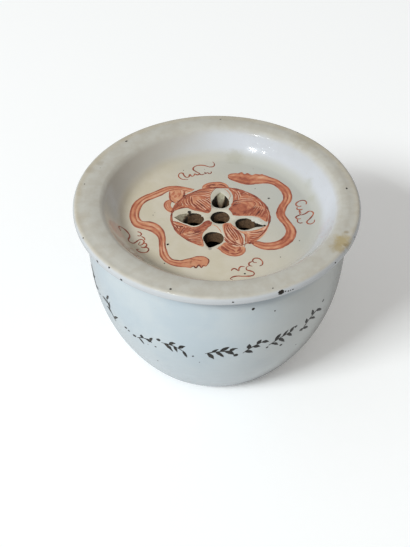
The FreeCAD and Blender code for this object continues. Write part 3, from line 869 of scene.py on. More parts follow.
# width, tone, and the lines' places
KNOT_LINES = [
    (0.4, 0.62, "-5.2 15.9 -4.7 17.9 -2.7 19.5 0.5 20 2.8 19.3 4.1 17.8 4.4 16.5, -0.2 -15.8 0.6 -16.4 2.3 "
     "-18.3 4.8 -19.8 7.5 -19.6 9.3 -18 9.7 -15.7, -16.3 10.3 -18 9.2 -18.6 7.1 -17.9 4.8 -16.2 3.1 -15.2 "
     "3.3, -9 15.6 -10.6 16.6 -12.4 17.3"),
    (0.85, 0.8, "-3.5 16.2 -3.2 17.5 -1.9 18.5 -0.2 18.3, -2.9 16.9 -1.4 16.8 0.6 16.9, 1.4 -14.8 2.6 "
     "-16.3 4.2 -17.6"),
    (0.6, 0.72, "0.2 18.2 1.5 18.6 2.8 18 3.6 17, 2.4 -14.2 3.8 -15.8 5.4 -17 6.1 -17.8, 3.4 -13.6 4.8 -15 "
     "6.6 -16.2, 6.8 -17.6 7.7 -16.6 7.9 -15.2, 4.4 -18.5 6 -18.9 7.6 -18.2 8.6 -16.6, 1.2 -15.6 2.6 -17.2 "
     "4.2 -18.6"),
    (0.5, 0.76, "-16.9 14.6 -16.8 12.2 -16.5 10 -15 8.4, -11.7 15.4 -11.6 13.4 -11.9 11.2 -12.9 9.6 -14 "
     "8.2, -14.1 9.6 -13.4 8 -13.8 6.6, -12.7 9.6 -11.8 8.6 -11.3 6.8 -12.5 5.8 -13.9 4.9, -13 8.8 -12.5 "
     "7.6 -13 6.8, -14.4 8.6 -14 6.8 -14.8 4.9"),
    (0.34, 0.55, "-17.6 8.4 -17.8 6.8 -17.1 5.1 -16.2 4.3, -17 8.6 -17.2 7 -16.7 5.6 -15.8 4.9, -16.3 8.4 "
     "-16.6 7 -16.2 5.9, -15.2 14.9 -15.5 13 -15 11, -13.2 15.6 -12.9 13.8 -13.6 11.6, -10.9 15.3 -11.5 "
     "14.3 -11.3 13.2"),
]
# across, along and size of each
KNOT_SPOTS = rows("-13.6 13.5 1, -14.7 11.9 1.1, -15.6 13.2 1.3")
RAGGED_ENDS = [
    ("4.4 22.8 4.5 24.2 5.6 24.9 7.6 25.1 8.6 24.2", 0.4, 0.62),
    ("8.6 24.4 9.2 25.8 10.2 24.4 11.4 25.2 12.8 23.9 14.4 24.7 15.4 24 16.6 24.6 17.6 23.9", 0.42, 0.6),
    ("-8.4 -20.7 -7 -20.2 -4.8 -20.2 -3.4 -21.1 -2.8 -22.3 -3.2 -23.9 -3.8 -25.1", 0.4, 0.78),
    ("-3.8 -25.1 -4.7 -24.6 -5.4 -25.8 -6.2 -24.4 -7.2 -25.9 -8 -25 -9 -25.8", 0.5, 0.9),
    ("-15.5 -21.6 -12.5 -22.2 -9.5 -21.3 -7 -21.9 -5.2 -22.4", 0.46, 0.76),
    ("6.4 22 8.6 21.4 11 21.5", 0.4, 0.5),
]


def make_ribbons(enamel):
    """The ball's two long ribbons."""
    shape = Shape()
    band(shape, LEFT_RIBBON_INNER, LEFT_RIBBON_OUTER, EDGE_TONES, seed=11, end=RIBBON_END_TONE)
    band(shape, RIGHT_RIBBON_OUTER, RIGHT_RIBBON_INNER, [tone + 0.15 for tone in EDGE_TONES], seed=23)
    vary = wander("ribbon end", 3, 6.0)
    wash(shape, LEFT_RIBBON_END, lambda p: RIBBON_END_TONE + 0.08 * vary(p.x + p.y), 31)
    for edge in (LEFT_RIBBON_OUTER, LEFT_RIBBON_INNER, RIGHT_RIBBON_OUTER[7:], RIGHT_RIBBON_INNER):
        brush_line(shape, edge, 0.56, 0.68)
    brush_line(shape, LEFT_RIBBON_FOLD, 0.56, 0.6)
    brush_line(shape, RIGHT_RIBBON_FOLD, 0.56, 0.64)
    for line, width, tone in RAGGED_ENDS:
        brush_line(shape, pairs(line), width, tone)
    return shape.build("painted_ribbons", "cover", [enamel])


def make_knots(enamel):
    """The scrolls and bows where the ribbons leave the ball."""
    shape = Shape()
    washes(shape, "knot", KNOTS, 4.0, 0.12, 40)
    band(shape, LOOP_OUTER, LOOP_INNER, (0.6, 0.34, 0.3, 0.34, 0.6), seed=47)
    for width, tone, lines in KNOT_LINES:
        for line in lines.split(", "):
            brush_line(shape, pairs(line), width * 1.25, tone - 0.04)
    for x, y, size in KNOT_SPOTS:
        blot(shape, floor_spot(x, y), size, 0.5, f"knot spot {x}", lift=WASH_LIFT + 0.02, long=1.9, lean=1.2)
    return shape.build("painted_knots", "cover", [enamel])


# Four curling clouds round the ball, in thin lines

CLOUDS = (
    "-10.3 21.7 -12.5 21.8 -13.8 23.5 -13.4 25.2 -12.3 25.3 -11.8 24 -10.9 22.8 -10 23.3 -9.7 24.6 -9 23.5 "
    "-8.2 24 -7.9 25 -7 24.3 -6.2 25.2 -7.4 26.2 -8.5 27.5 -8 29.2 -6.2 30 -4.3 29.8 -2.5 29 -1 29.3 -0.7 "
    "30.8 -1.3 32, -4.2 25.9 -4 25.1 -3.2 25.6 -2.6 25 -1.8 25.6 -1.9 26.3, -6.4 25 -5.4 24.4 -4.4 24.9, "
    "31.8 7.5 32 8.8 31 9.8 29.3 9.2 28.2 7.8 28.6 6.6 29.8 6.3 29.9 6.8, 28.6 5.9 28.5 4.8 30 4.6 30.3 5, "
    "29.6 3.8 29.3 2.4 29.8 1.7 31.2 2.4 32.6 3.7 33.6 3.5 34.1 2.3 33.5 0.9 32.5 -0.6 31.6 -1.8 31.7 -2.8 "
    "32.8 -3.2 34 -2.4 34.3 -1.2, 29.4 4.4 29.2 3.4 30 2.6, 29.4 1.7 28.2 1 27.8 0.2 28.4 -0.5 29.6 -0.3, "
    "28.3 -0.8 28.3 -2 29 -2.7 30 -2.5, -33.3 -9 -34 -7.4 -33.4 -6.3 -32 -6.7 -30.8 -8.2 -30.2 -10 -30.6 "
    "-11.8 -30.2 -13.2 -29 -13.6 -28 -12.8 -27.2 -11.8 -26 -11.4 -25.2 -12.3 -25.4 -13.6 -26.4 -14.4 -27 "
    "-13.9 -26.5 -12.7, -25.6 -13.2 -24.4 -13.6 -24.3 -14.9 -25.4 -15.6 -26.2 -15.2, -25.3 -15.7 -24 -15.6 "
    "-23.4 -16.8 -24.2 -18 -25.6 -18.3 -27 -17.9 -27.6 -17 -26.8 -16.6, -27.6 -7.3 -26.6 -7.8 -26.2 -8.8 "
    "-26.8 -9.6 -27.5 -9.3, -26.2 -9.8 -25.2 -10.6 -24.9 -11.8, 14.3 -24.9 15.2 -24.2 15.3 -22.6 14.3 "
    "-21.2 12.8 -21 12 -22 12.4 -23.1 13.4 -23.2, 11.8 -22.6 10.8 -23.4 10.8 -24.6 11.8 -25, 10.6 -24.9 "
    "9.8 -25.6 9.9 -26.8 11.2 -27.4 12.3 -28.2 12.1 -29.4 10.6 -29.9 8.6 -30 6.8 -29.9 5.2 -30.3 4.3 -31.2 "
    "5 -31.6, 9.2 -25.3 8 -25.2 7.3 -26.2 7.2 -27.4 6.6 -26.8 5.8 -26.2 5 -26.6 4.7 -27.4")


def in_dish(u, v, lift):
    """A place on the dish floor, or on the curve that rises round it."""
    offset = Vector((u - DISH_SHIFT, v))
    if offset.length <= DISH_RADIUS:
        return on_floor(u, v, lift)
    angle = math.atan2(offset.y, offset.x)
    piece = max(k for k in range(len(DISH) - 1) if DISH[k].x <= offset.length)
    share = (offset.length - DISH[piece].x) / (DISH[piece + 1].x - DISH[piece].x)
    height = lerp(DISH[piece].y, DISH[piece + 1].y, share)
    wide = offset.length + hand_turned(angle, height)
    return (DISH_SHIFT + wide * math.cos(angle), wide * math.sin(angle), height + lift)


def make_clouds(enamel):
    """The clouds."""
    shape = Shape()
    for number, line in enumerate(CLOUDS.split(", ")):
        brush_line(shape, pairs(line), 0.52, 0.74, place=in_dish, seed=500 + number, taper=0.5)
    return shape.build("painted_clouds", "cover", [enamel])


# Ink on the jar: leaning leaves, grass and dots in a loose row round the front

INK_HEIGHT = 37.5
# a sprig: distance round the jar from its front, height above the row, length, lean in degrees, leaves
SPRIGS = rows(
    "-43.5 -0.6 10 112 5, -27 -4.2 7 20 4, -15.5 -2.6 8.6 -14 5, 0.2 -2.4 8.8 8 6, 12.4 -1.4 8.4 32 5, "
    "22.6 -0.9 9.4 18 6, 35.6 0.4 9.6 40 5, -56 3 8 100 4")
# distance round the jar, height above the row, size
INK_DOTS = rows(
    "-35.6 -3.8 1.1, -34.2 -4.4 0.8, -31.6 -5.4 1.3, -20.6 -0.6 1.3, 6.6 -4.2 1.5, 28.6 2 1, 31.6 -1.8 "
    "1.2, 23.4 -5 0.9, -22.4 -5.6 0.7, 17.6 -3.4 0.8, 42 5.4 0.9, -8.4 -5.4 0.7")


def make_ink(ink, wall):
    """Painted sprigs of long leaves, and dots, on the jar's front."""
    shape = Shape()
    for number, (u, v, length, lean, leaves) in enumerate(SPRIGS):
        dice = random.Random(f"sprig {number}")
        angle = math.radians(lean)
        along = unit(angle)
        side = Vector((-along.y, along.x))
        start = Vector((u, v)) - along * length / 2
        bend = dice.uniform(0.6, 1.2)
        stem = [start + along * length * k / 4 + side * bend * math.sin(math.pi * k / 4) for k in range(5)]
        brush_line(shape, [tuple(p) for p in stem], 0.42, 0.62, place=wall, taper=0.4, seed=f"stem {number}")
        for leaf in range(int(leaves)):
            share = (leaf + 0.6) / leaves
            root = start + along * length * share + side * bend * math.sin(math.pi * share)
            turn = angle + math.radians((1 if leaf % 2 else -1) * dice.uniform(24, 70))
            reach = length * dice.uniform(0.30, 0.46)
            heading = unit(turn)
            droop = Vector((0, -1)) * dice.uniform(0.05, 0.3) * reach
            path = [root, root + heading * reach * 0.5, root + heading * reach + droop]
            brush_line(shape, [tuple(p) for p in path], dice.uniform(1.0, 1.8), dice.uniform(0.7, 1.0),
                       place=wall, taper=0.1, seed=f"leaf {number} {leaf}", belly=True)
    for number, (u, v, size) in enumerate(INK_DOTS):
        def spot(across, along, lift, u=u, v=v):
            return wall(u + across, v + along, lift)
        blot(shape, spot, size, 0.8, f"ink dot {number}", long=1.3, lean=0.5)
    return shape.build("painted_ink_leaves", "jar", [ink])


# Iron specks and chips

SPECK_LIFT = 0.03
LIP_AND_RIM = LID_OUTSIDE[-40:]  # the end of the lid's outside, where its specks are
# angle, radius, height, size
LIP_SPECKS = rows(
    "135 46.6 65.85 0.8, 7 45.9 65.88 0.7, 230.8 49.99 63.6 0.8, 251.5 47.98 65.67 0.7, 275.5 50 64 0.6, "
    "291.5 48.16 65.66 0.45, 294.2 49.97 64.4 1.8, 295.8 49.99 64.3 0.5, 297 50 64.15 0.5, 298 50 64.1 "
    "0.45, 299 50 64.15 0.5, 321 49.99 64.3 0.6, 217 50 63.9 0.8, 224 49.67 65 0.6, 204 49.4 65.2 0.5, 170 "
    "47.2 65.8 0.4, 88 46.4 65.86 0.5, 52 48.9 65.4 0.4, 338 49.9 64.5 0.5, 118 49.7 64.9 0.6")
# across, along, size
FLOOR_SPECKS = rows(
    "-16.9 -14 0.9, 18.7 11 0.8, -17.9 -23.6 0.5, 9.2 -28.7 0.7, -12 27 0.35, 21.5 -20.4 0.4, -22.4 1.6 "
    "0.35, 14 16.4 0.35, 28.4 -12 0.4, -4.4 27.6 0.3, -9.6 3.3 1.4, 16.7 -3.9 0.9")
# angle round the jar, height, size
JAR_SPECKS = rows(
    "284.8 55.9 1.15, 294.5 52 0.6, 204 37.2 0.9, 240 22 0.6, 310 27 0.5, 262 28.5 0.4, 120 44 0.7, 60 30 "
    "0.6, 20 50 0.5, 165 24 0.6, 335 46 0.5, 90 56 0.5, 190 52 0.4")

# across, along and size of each chip
CHIPS = rows("13.3 -1 1.9, 14.2 -1.9 1.6, 12.7 -0.3 1.2, 15.2 -2.6 0.9, -4.9 1.3 0.8")


def make_chips(bare):
    """Small white chips in the glaze beside the holes."""
    shape = Shape()
    for number, (x, y, size) in enumerate(CHIPS):
        blot(shape, floor_spot(x, y), size, 0.0, f"chip {number}", lift=0.04, long=1.3, lean=0.4)
    return shape.build("glaze_chips", "cover", [bare])


def make_specks(iron):
    """Iron spots that came through the glaze, on the lid and on the jar."""
    shape = Shape()
    for number, (angle, radius, height, size) in enumerate(LIP_SPECKS):
        place = Wall(LIP_AND_RIM, angle, radius, height)
        blot(shape, place, size, 0.5, f"lip speck {number}", lift=SPECK_LIFT, long=1.25)
    for number, (x, y, size) in enumerate(FLOOR_SPECKS):
        blot(shape, floor_spot(x, y), size, 0.5, f"floor speck {number}", lift=SPECK_LIFT)
    shape.build("lid_iron_specks", "cover", [iron])
    shape = Shape()
    for number, (angle, height, size) in enumerate(JAR_SPECKS):
        wall = Wall(JAR_OUTSIDE, angle, jar_radius(height), height)
        blot(shape, wall, size, 0.5, f"jar speck {number}", lift=SPECK_LIFT)
    shape.build("jar_iron_specks", "jar", [iron])


def jar_radius(height):
    """Outside radius of the jar at a height above its heel."""
    wall = [p for p in JAR_OUTSIDE if p.x > 30]
    return min(wall, key=lambda p: abs(p.y - height)).x


# Materials

def linear(red, green, blue):
    """A colour that shows as these 0 to 255 values."""
    def channel(value):
        share = value / 255
        return share / 12.92 if share <= 0.04045 else ((share + 0.055) / 1.055) ** 2.4
    return (channel(red), channel(green), channel(blue), 1.0)


class Signal:
    """A node's output, which can be added, subtracted and multiplied."""

    def __init__(self, nodes, socket):
        self.nodes = nodes
        self.socket = socket

    def __add__(self, other):
        return self.nodes.math("ADD", self, other)

    def __sub__(self, other):
        return self.nodes.math("SUBTRACT", self, other)

    def __mul__(self, other):
        return self.nodes.math("MULTIPLY", self, other)

    def step(self, low, high, out_low=0.0, out_high=1.0, kind="SMOOTHSTEP"):
        """A change from out_low to out_high, as this goes from low to high."""
        inputs = {"Value": self, "From Min": low, "From Max": high, "To Min": out_low, "To Max": out_high}
        return self.nodes.add("MapRange", "Result", inputs, interpolation_type=kind)


class Nodes:
    """A node tree, and short calls that add to it."""

    def __init__(self, tree):
        self.tree = tree

    def add(self, kind, output=0, inputs=None, **settings):
        """Adds a node, and returns one of its outputs."""
        made = self.tree.nodes.new("ShaderNode" + kind)
        for key, value in settings.items():
            setattr(made, key, value)
        for key, value in (inputs or {}).items():
            self.feed(made, key, value)
        return Signal(self, made.outputs[output])

    def feed(self, node, key, value):
        if isinstance(value, Signal):
            self.tree.links.new(value.socket, node.inputs[key])
        else:
            node.inputs[key].default_value = value

    def math(self, operation, a, b):
        return self.add("Math", 0, {0: a, 1: b}, operation=operation)

    def mix(self, share, a, b):
        """Mixes two colours, which are outputs or 0 to 255 values."""
        a, b = (linear(*colour) if isinstance(colour, tuple) else colour for colour in (a, b))
        return self.add("Mix", 2, {0: share, 6: a, 7: b}, data_type="RGBA")


class Finish(Nodes):
    """A Principled material, measured in millimetres."""

    def __init__(self, name, **constants):
        self.material = bpy.data.materials.new(name)
        self.material.use_nodes = True
        super().__init__(self.material.node_tree)
        self.shader = self.tree.nodes["Principled BSDF"]
        for socket, value in constants.items():
            self.shader.inputs[socket.replace("_", " ")].default_value = value
        where = self.add("TexCoord", "Object")
        self.place = self.add("VectorMath", 0, {0: where, "Scale": 1 / MM}, operation="SCALE")
        self.x, self.y, self.z = (self.add("SeparateXYZ", axis, {0: self.place}) for axis in range(3))

    def done(self, colour, normal=None, roughness=None):
        """Feeds the shader, and returns the material."""
        for key, value in (("Base Color", colour), ("Normal", normal), ("Roughness", roughness)):
            if value:
                self.feed(self.shader, key, value)
        return self.material

    def noise(self, size, detail=3.0, roughness=0.55):
        """Noise from 0 to 1 whose lumps are about size millimetres."""
        return self.add("TexNoise", "Fac", {"Vector": self.place, "Scale": 1 / size, "Detail": detail,
                                            "Roughness": roughness})

    def distance(self, spot, start=None):
        """Distance of start, or else of the place itself, from a spot."""
        return self.add("VectorMath", "Value", {0: start or self.place, 1: spot}, operation="DISTANCE")

    def from_axis(self):
        """Distance from the upright axis."""
        return self.distance((0, 0, 0), self.add("CombineXYZ", 0, {0: self.x, 1: self.y}))

    def tone(self):
        return self.add("Attribute", "Fac", attribute_name="tone", attribute_type="GEOMETRY")

    def ramp(self, value, stops):
        """Colour from rows of a place and its 0 to 255 values."""
        made = self.add("ValToRGB", "Color", {"Fac": value})
        elements = made.socket.node.color_ramp.elements
        while len(elements) < len(stops):
            elements.new(0.5)
        for element, (place, *colour) in zip(elements, stops):
            element.position = place
            element.color = linear(*colour)
        return made

    def bump(self, height, strength, distance, below=None):
        """Bump whose height is measured in millimetres of distance."""
        inputs = {"Height": height, "Strength": strength, "Distance": distance * MM}
        if below:
            inputs["Normal"] = below
        return self.add("Bump", "Normal", inputs)

    def pinholes(self, spacing, size):
        """Scattered small dots, 1 inside a dot: about one for each cube of spacing."""
        cells = {"Vector": self.place, "Scale": 1 / spacing}
        near = self.add("TexVoronoi", "Distance", cells).step(size * 0.6 / spacing, size / spacing, 1.0, 0.0)
        pick = self.add("SeparateColor", 0, {0: self.add("TexVoronoi", "Color", cells)})
        return near * pick.step(0.55, 0.6)


def jar_glaze():
    """Cool white glaze: lighter low down, with a painted bluish shadow of the lid under the mouth and painted
    warm room light on the right.
    """
    finish = Finish("jar_glaze", Roughness=0.16, Specular_IOR_Level=0.5, Coat_Weight=0.3, Coat_Roughness=0.06)
    x, z = finish.x, finish.z
    base = finish.mix(finish.noise(17, 4).step(0.35, 0.65), (197, 209, 216), (206, 215, 219))
    base = finish.mix(z.step(3.0, 34.0, 1.0, 0.0) * 0.8, base, (221, 230, 235))
    # painted warm room light on the jar's right side
    base = finish.mix(x.step(0.0, 34.0) * 0.7, base, (204, 204, 199))
    # painted bluish shadow of the lid's flange below the mouth, deeper towards the right
    painted_lip_shadow = z.step(55.2, 58.6) * x.step(-20.0, 30.0, 0.25, 0.6)
    base = finish.mix(painted_lip_shadow, base, (154, 168, 182))
    dust = finish.noise(2.2, 5, 0.7).step(0.6, 0.82) * 0.2
    base = finish.mix(dust, base, (190, 186, 172))
    base = finish.mix(finish.pinholes(7.0, 0.32) * 0.7, base, (120, 104, 86))
    inputs = {"Vector": finish.place, "Scale": 0.11, "Distortion": 2.0, "Detail": 2.0}
    rings = finish.add("TexWave", "Fac", inputs, bands_direction="Z")
    broad = finish.bump(rings, 0.12, 0.05)
    skin = finish.bump(finish.noise(1.6, 2), 0.25, 0.03, broad)
    return finish.done(base, finish.bump(finish.noise(9.0, 2), 0.5, 0.12, skin))


# place (3 numbers), size, depth and colour (3 numbers) of the stains on the lid; the five at heights 58 to
# 58.6 are painted shade at the foot of the dish's slope
STAINS_AND_FOOT_SHADE = rows(
    "41.95 -21.6 65.7 5 0.8 180 160 110, 40.1 -25.1 65.7 4 0.75 174 156 114, 43.6 -17.6 65.4 1.5 0.6 150 "
    "130 94, 42.6 -23.8 65.4 1.2 0.55 146 124 88, -41.9 19.8 65.8 2.2 0.4 158 144 120, -45.5 16 65.5 3 0.3 "
    "164 152 130, -2.4 -16.2 57 1 0.6 124 116 108, -46.5 -10 65.4 5 0.25 176 164 140, 34 35 65 9 0.45 176 "
    "166 140, 4 47 65.5 7 0.3 178 168 144, 34 17 58.6 3.4 0.35 172 172 150, 33.6 10 58 2.6 0.25 176 175 "
    "152, 7 33.5 58.2 5 0.35 172 168 146, -24 -24.6 58.4 5 0.35 146 140 112, -8 -34.6 58.6 4.5 0.3 150 144 "
    "116")


def lid_glaze():
    """Cream floor, cooler towards the back right, and a cooler slope with painted light and shade: a bluish
    sheen on its right, warm shade on its back left, warm light on its front left, greyer at its back right,
    and shade at its foot. Worn beige rim and whiter lip, faintly mottled and stained.
    """
    finish = Finish("lid_glaze", Specular_IOR_Level=0.5, Coat_Weight=0.6, Coat_Roughness=0.04)
    x, y, z = finish.x, finish.y, finish.z
    mottle = finish.noise(9.0, 4, 0.55).step(0.36, 0.64)
    across = x + y * 0.6 + finish.noise(14, 3) * 18.0
    # cooler towards the back right: a tint on the floor, and on the slope a painted bluish sheen of the
    # window's light
    cooler_right_and_painted_sheen = across.step(-6.0, 46.0)
    floor = finish.mix(mottle, (212, 202, 179), (218, 209, 190))
    floor = finish.mix(cooler_right_and_painted_sheen, floor, (195, 195, 187))
    slope = finish.mix(mottle, (198, 197, 191), (202, 201, 197))
    slope = finish.mix(cooler_right_and_painted_sheen, slope, (212, 215, 221))
    sway = finish.noise(11.0, 3) * 16.0
    # painted warm shade on the back left of the slope
    painted_shade_back_left = (y - x - sway).step(26.0, 54.0, 0.0, 0.8)
    slope = finish.mix(painted_shade_back_left, slope, (195, 188, 174))
    diagonal = y + x + sway
    # painted warm light on the front left of the slope; the next line makes the slope greyer at its back
    # right
    slope = finish.mix(diagonal.step(-52.0, -26.0, 1.0, 0.0), slope, (238, 229, 216))
    slope = finish.mix(diagonal.step(50.0, 72.0, 0.0, 0.6), slope, (188, 189, 190))
    patchy = finish.noise(4.2, 4, 0.6).step(0.36, 0.64)
    rim = finish.mix(patchy, (193, 188, 176), (200, 197, 187))
    out = finish.from_axis() + finish.noise(5.0, 4, 0.6) * 3.0 + y * 0.026
    worn = out.step(48.2, 50.6) * y.step(-50.0, 20.0, 0.55, 1.0) * z.step(64.4, 65.2)
    rim = finish.mix(worn, rim, finish.mix(patchy, (192, 183, 163), (200, 193, 177)))
    base = finish.mix(z.step(57.4, 60.6), floor, slope)
    edge = z + finish.noise(6.0, 4) * 1.2
    base = finish.mix(edge.step(64.4, 66.5), base, rim)
    lip = finish.from_axis().step(46.0, 47.0) * z.step(64.8, 65.6, 1.0, 0.0)
    base = finish.mix(lip, base, (202, 205, 208))
    # painted shade where the slope meets the floor, deepest at the front left
    foot = z.step(57.05, 58.0) * z.step(58.2, 59.6, 1.0, 0.0)
    base = finish.mix(foot * across.step(-44.0, 4.0, 0.32, 0.06), base, (160, 155, 134))
    grime = finish.noise(1.0, 5, 0.7).step(0.56, 0.8) * 0.22
    base = finish.mix(grime, base, (172, 162, 140))
    for *spot, wide, depth, red, green, blue in STAINS_AND_FOOT_SHADE:
        uneven = finish.distance(spot) + finish.noise(1.8, 4, 0.65) * (wide * 1.1)
        marked = uneven.step(wide * 0.75, wide * 1.45, depth, 0.0)
        base = finish.mix(marked, base, (red, green, blue))
    base = finish.mix(finish.pinholes(5.0, 0.24) * 0.6, base, (112, 94, 76))
    dull = finish.noise(3.1, 4, 0.6).step(0.3, 0.75, 0.10, 0.22) + worn * 0.12
    skin = finish.bump(finish.noise(1.1, 2), 0.18, 0.03)
    return finish.done(base, finish.bump(finish.noise(7.5, 2), 0.4, 0.12, skin), dull)


def bare_clay():
    """Unglazed fired porcelain: matt, buff, with darker dust in its grain."""
    finish = Finish("bare_porcelain", Roughness=0.85, Specular_IOR_Level=0.3)
    grain = finish.noise(0.5, 5, 0.7)
    base = finish.mix(grain.step(0.3, 0.7), (178, 160, 134), (208, 196, 174))
    base = finish.mix(finish.noise(9.0, 3).step(0.45, 0.75) * 0.6, base, (196, 158, 120))
    return finish.done(base, finish.bump(grain, 0.6, 0.08))


def inner_clay():
    """The jar's inside, brown from the earth that was kept in it."""
    finish = Finish("earthy_inside", Roughness=0.8, Specular_IOR_Level=0.3)
    grain = finish.noise(1.5, 5, 0.7).step(0.3, 0.7)
    level = finish.z + finish.noise(8.0, 4) * 16.0
    low = finish.mix(grain, (116, 90, 68), (142, 116, 92))
    high = finish.mix(grain, (150, 130, 106), (174, 156, 132))
    return finish.done(finish.mix(level.step(26.0, 48.0), low, high), finish.bump(grain, 0.5, 0.1))


def cut_clay():
    """The cut faces of the holes: black with painted shade at the top edge and on the side away from the
    light, brown below, and glazed on the leaf slopes.
    """
    finish = Finish("cut_faces", Roughness=0.55, Specular_IOR_Level=0.4)
    grain = finish.noise(0.8, 5, 0.7).step(0.3, 0.7)
    painted_shade_black = finish.mix(grain, (26, 22, 16), (48, 40, 30))
    earthy = finish.mix(grain, (67, 51, 38), (105, 82, 60))
    glazed = finish.mix(grain, (158, 150, 126), (190, 186, 164))
    tone = finish.tone()
    base = finish.mix(tone.step(0.05, 0.45), painted_shade_black, earthy)
    base = finish.mix(tone.step(0.55, 0.95), base, glazed)
    return finish.done(base, finish.bump(grain, 0.5, 0.08))


def red_enamel():
    """Iron red over the glaze, from a thin orange wash to a dark outline."""
    finish = Finish("iron_red_enamel", Roughness=0.32, Specular_IOR_Level=0.5, Coat_Weight=0.2,
                    Coat_Roughness=0.15)
    streaks = (finish.noise(0.9, 4, 0.65) - 0.5) * 0.32
    cloudy = (finish.noise(3.0, 3) - 0.5) * 0.22
    base = finish.ramp(finish.tone() + streaks + cloudy, [
        (0.0, 232, 194, 168),
        (0.25, 218, 156, 118),
        (0.5, 194, 116, 84),
        (0.78, 152, 74, 52),
        (1.0, 88, 36, 28),
    ])
    return finish.done(base, finish.bump(finish.noise(0.5, 3), 0.3, 0.02))


def ink_enamel():
    """Brown-black painted ink, thin in places."""
    finish = Finish("ink_enamel", Roughness=0.35, Specular_IOR_Level=0.5)
    tone = finish.tone() + (finish.noise(0.7, 4, 0.65) - 0.5) * 0.5
    return finish.done(finish.ramp(tone, [(0.2, 110, 98, 76), (0.5, 56, 48, 36), (0.85, 24, 20, 16)]))


def chip_body():
    """White porcelain where the glaze is chipped."""
    finish = Finish("chipped_porcelain", Roughness=0.7)
    return finish.done(finish.mix(finish.noise(0.6, 3), (204, 200, 186), (232, 230, 220)))


def iron_speck():
    """Iron spots, black in the middle and brown at the edge."""
    finish = Finish("iron_specks", Roughness=0.45, Specular_IOR_Level=0.4)
    grain = finish.noise(0.25, 3).step(0.35, 0.65)
    return finish.done(finish.mix(grain, (18, 14, 12), (46, 36, 29)))


# Floor and light, in metres

FLOOR_SIZE = 3.0
LIGHT_AIM = Vector((0, 0, 0.05))
LIGHT_FROM = Vector((-0.585, -0.514, 0.625))
LIGHT_DISTANCE = 2.6
WINDOW_SIZE = (0.94, 0.50)
WINDOW_POWER = 46.5
PANE_HEIGHT = 0.06
# across and above the window's middle, width, power
PANES = ((0.36, 0.27, 0.28, 3.6), (-0.05, 0.14, 0.12, 0.7))
DAYLIGHT = (0.94, 0.985, 1.0)
ROOM_BRIGHT = (0.46, 0.47, 0.476, 1)  # the room's light from the left
ROOM_DIM = (0.345, 0.33, 0.306, 1)  # and from the right
ROOM_SIDE = (-0.75, -0.12, 0)
TABLE_COLOUR = (0.70, 0.70, 0.70, 1)  # how much light the table throws back
WHITE = (1, 1, 1, 1)
TABLE_GLOW = 0.13  # lifts the table to white in the picture


def put(name, data, place=(0, 0, 0)):
    """An object in the scene, from a mesh, a lamp or a camera."""
    made = bpy.data.objects.new(name, data)
    made.location = place
    bpy.context.scene.collection.objects.link(made)
    return made


def make_floor():
    """A pale table top that shows white and keeps the jar's soft shadow."""
    half = FLOOR_SIZE / 2
    mesh = bpy.data.meshes.new("table_top")
    corners = [(-half, -half, 0), (half, -half, 0), (half, half, 0), (-half, half, 0)]
    mesh.from_pydata(corners, [], [(0, 1, 2, 3)])
    floor = put("table_top", mesh)
    material = bpy.data.materials.new("white_table")
    material.use_nodes = True
    nodes = Nodes(material.node_tree)
    nodes.tree.nodes.clear()
    plain = nodes.add("BsdfDiffuse", 0, {"Color": TABLE_COLOUR})
    white = nodes.add("BsdfDiffuse", 0, {"Color": WHITE})
    glow = nodes.add("Emission", 0, {"Strength": TABLE_GLOW})
    both = nodes.add("AddShader", 0, {0: white, 1: glow})
    choice = nodes.add("MixShader", 0, {0: nodes.add("LightPath", "Is Camera Ray"), 1: plain, 2: both})
    nodes.feed(nodes.tree.nodes.new("ShaderNodeOutputMaterial"), "Surface", choice)
    mesh.materials.append(material)


def make_lamp(name, size, power, place, turn):
    """A rectangular lamp."""
    lamp = bpy.data.lights.new(name, "AREA")
    lamp.shape = "RECTANGLE"
    lamp.size, lamp.size_y = size
    lamp.energy = power
    lamp.color = DAYLIGHT
    holder = put(name, lamp, place)
    holder.rotation_mode = "QUATERNION"
    holder.rotation_quaternion = turn
    return holder


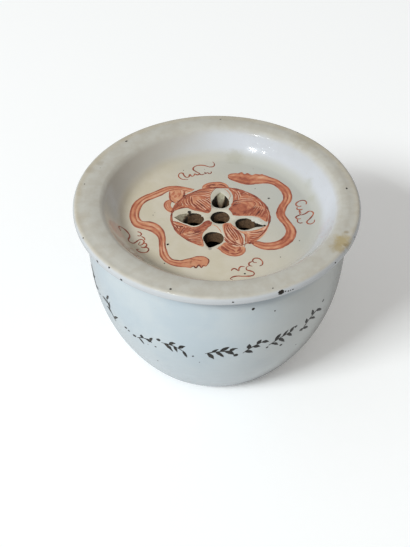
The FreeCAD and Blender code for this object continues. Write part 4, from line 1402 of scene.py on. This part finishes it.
def make_light():
    """A window in front on the left, two bright panes that the glaze mirrors, and a pale room."""
    world = bpy.data.worlds.new("pale_room")
    bpy.context.scene.world = world
    world.use_nodes = True
    nodes = Nodes(world.node_tree)
    inputs = {0: nodes.add("TexCoord", "Generated"), 1: ROOM_SIDE}
    left = nodes.add("VectorMath", "Value", inputs, operation="DOT_PRODUCT").step(-0.6, 0.6, kind="LINEAR")
    room = nodes.add("Mix", 2, {0: left, 6: ROOM_DIM, 7: ROOM_BRIGHT}, data_type="RGBA")
    inputs = {0: nodes.add("LightPath", "Is Camera Ray"), 6: room, 7: WHITE}
    nodes.feed(nodes.tree.nodes["Background"], "Color", nodes.add("Mix", 2, inputs, data_type="RGBA"))
    towards = LIGHT_FROM.normalized()
    turn = towards.to_track_quat("Z", "Y")
    middle = LIGHT_AIM + towards * LIGHT_DISTANCE
    make_lamp("window", WINDOW_SIZE, WINDOW_POWER, middle, turn).visible_glossy = False
    for across, up, wide, power in PANES:
        place = middle + turn @ Vector((across, up, 0.02))
        make_lamp("window_pane", (wide, PANE_HEIGHT), power, place, turn)


# Camera, solved from the photograph's outlines, in millimetres

CAMERA_PLACE = (-4.145, -348.244, 353.83)
CAMERA_PITCH = 42.884  # degrees below level
PHOTO_HEIGHT = 547
FOCAL_PIXELS = 1300
SENSOR = 36.0


def make_camera():
    """The photograph's view: from the front, well above the rim."""
    camera = bpy.data.cameras.new("camera")
    camera.sensor_fit = "AUTO"
    camera.sensor_width = SENSOR
    camera.lens = FOCAL_PIXELS * SENSOR / PHOTO_HEIGHT
    camera.clip_start = 0.01
    holder = put("camera", camera, [c * MM for c in CAMERA_PLACE])
    holder.rotation_euler = (math.radians(90 - CAMERA_PITCH), 0, 0)
    bpy.context.scene.camera = holder


def main():
    bpy.context.scene.view_settings.view_transform = "Standard"
    make_camera()
    make_floor()
    make_light()
    bare = bare_clay()
    make_jar(jar_glaze(), bare, inner_clay())
    make_lid(lid_glaze(), bare, cut_clay())
    enamel = red_enamel()
    make_ball(enamel)
    make_ribbons(enamel)
    make_knots(enamel)
    make_clouds(enamel)
    make_ink(ink_enamel(), Wall(JAR_OUTSIDE, -90, jar_radius(INK_HEIGHT), INK_HEIGHT))
    make_specks(iron_speck())
    make_chips(chip_body())


main()
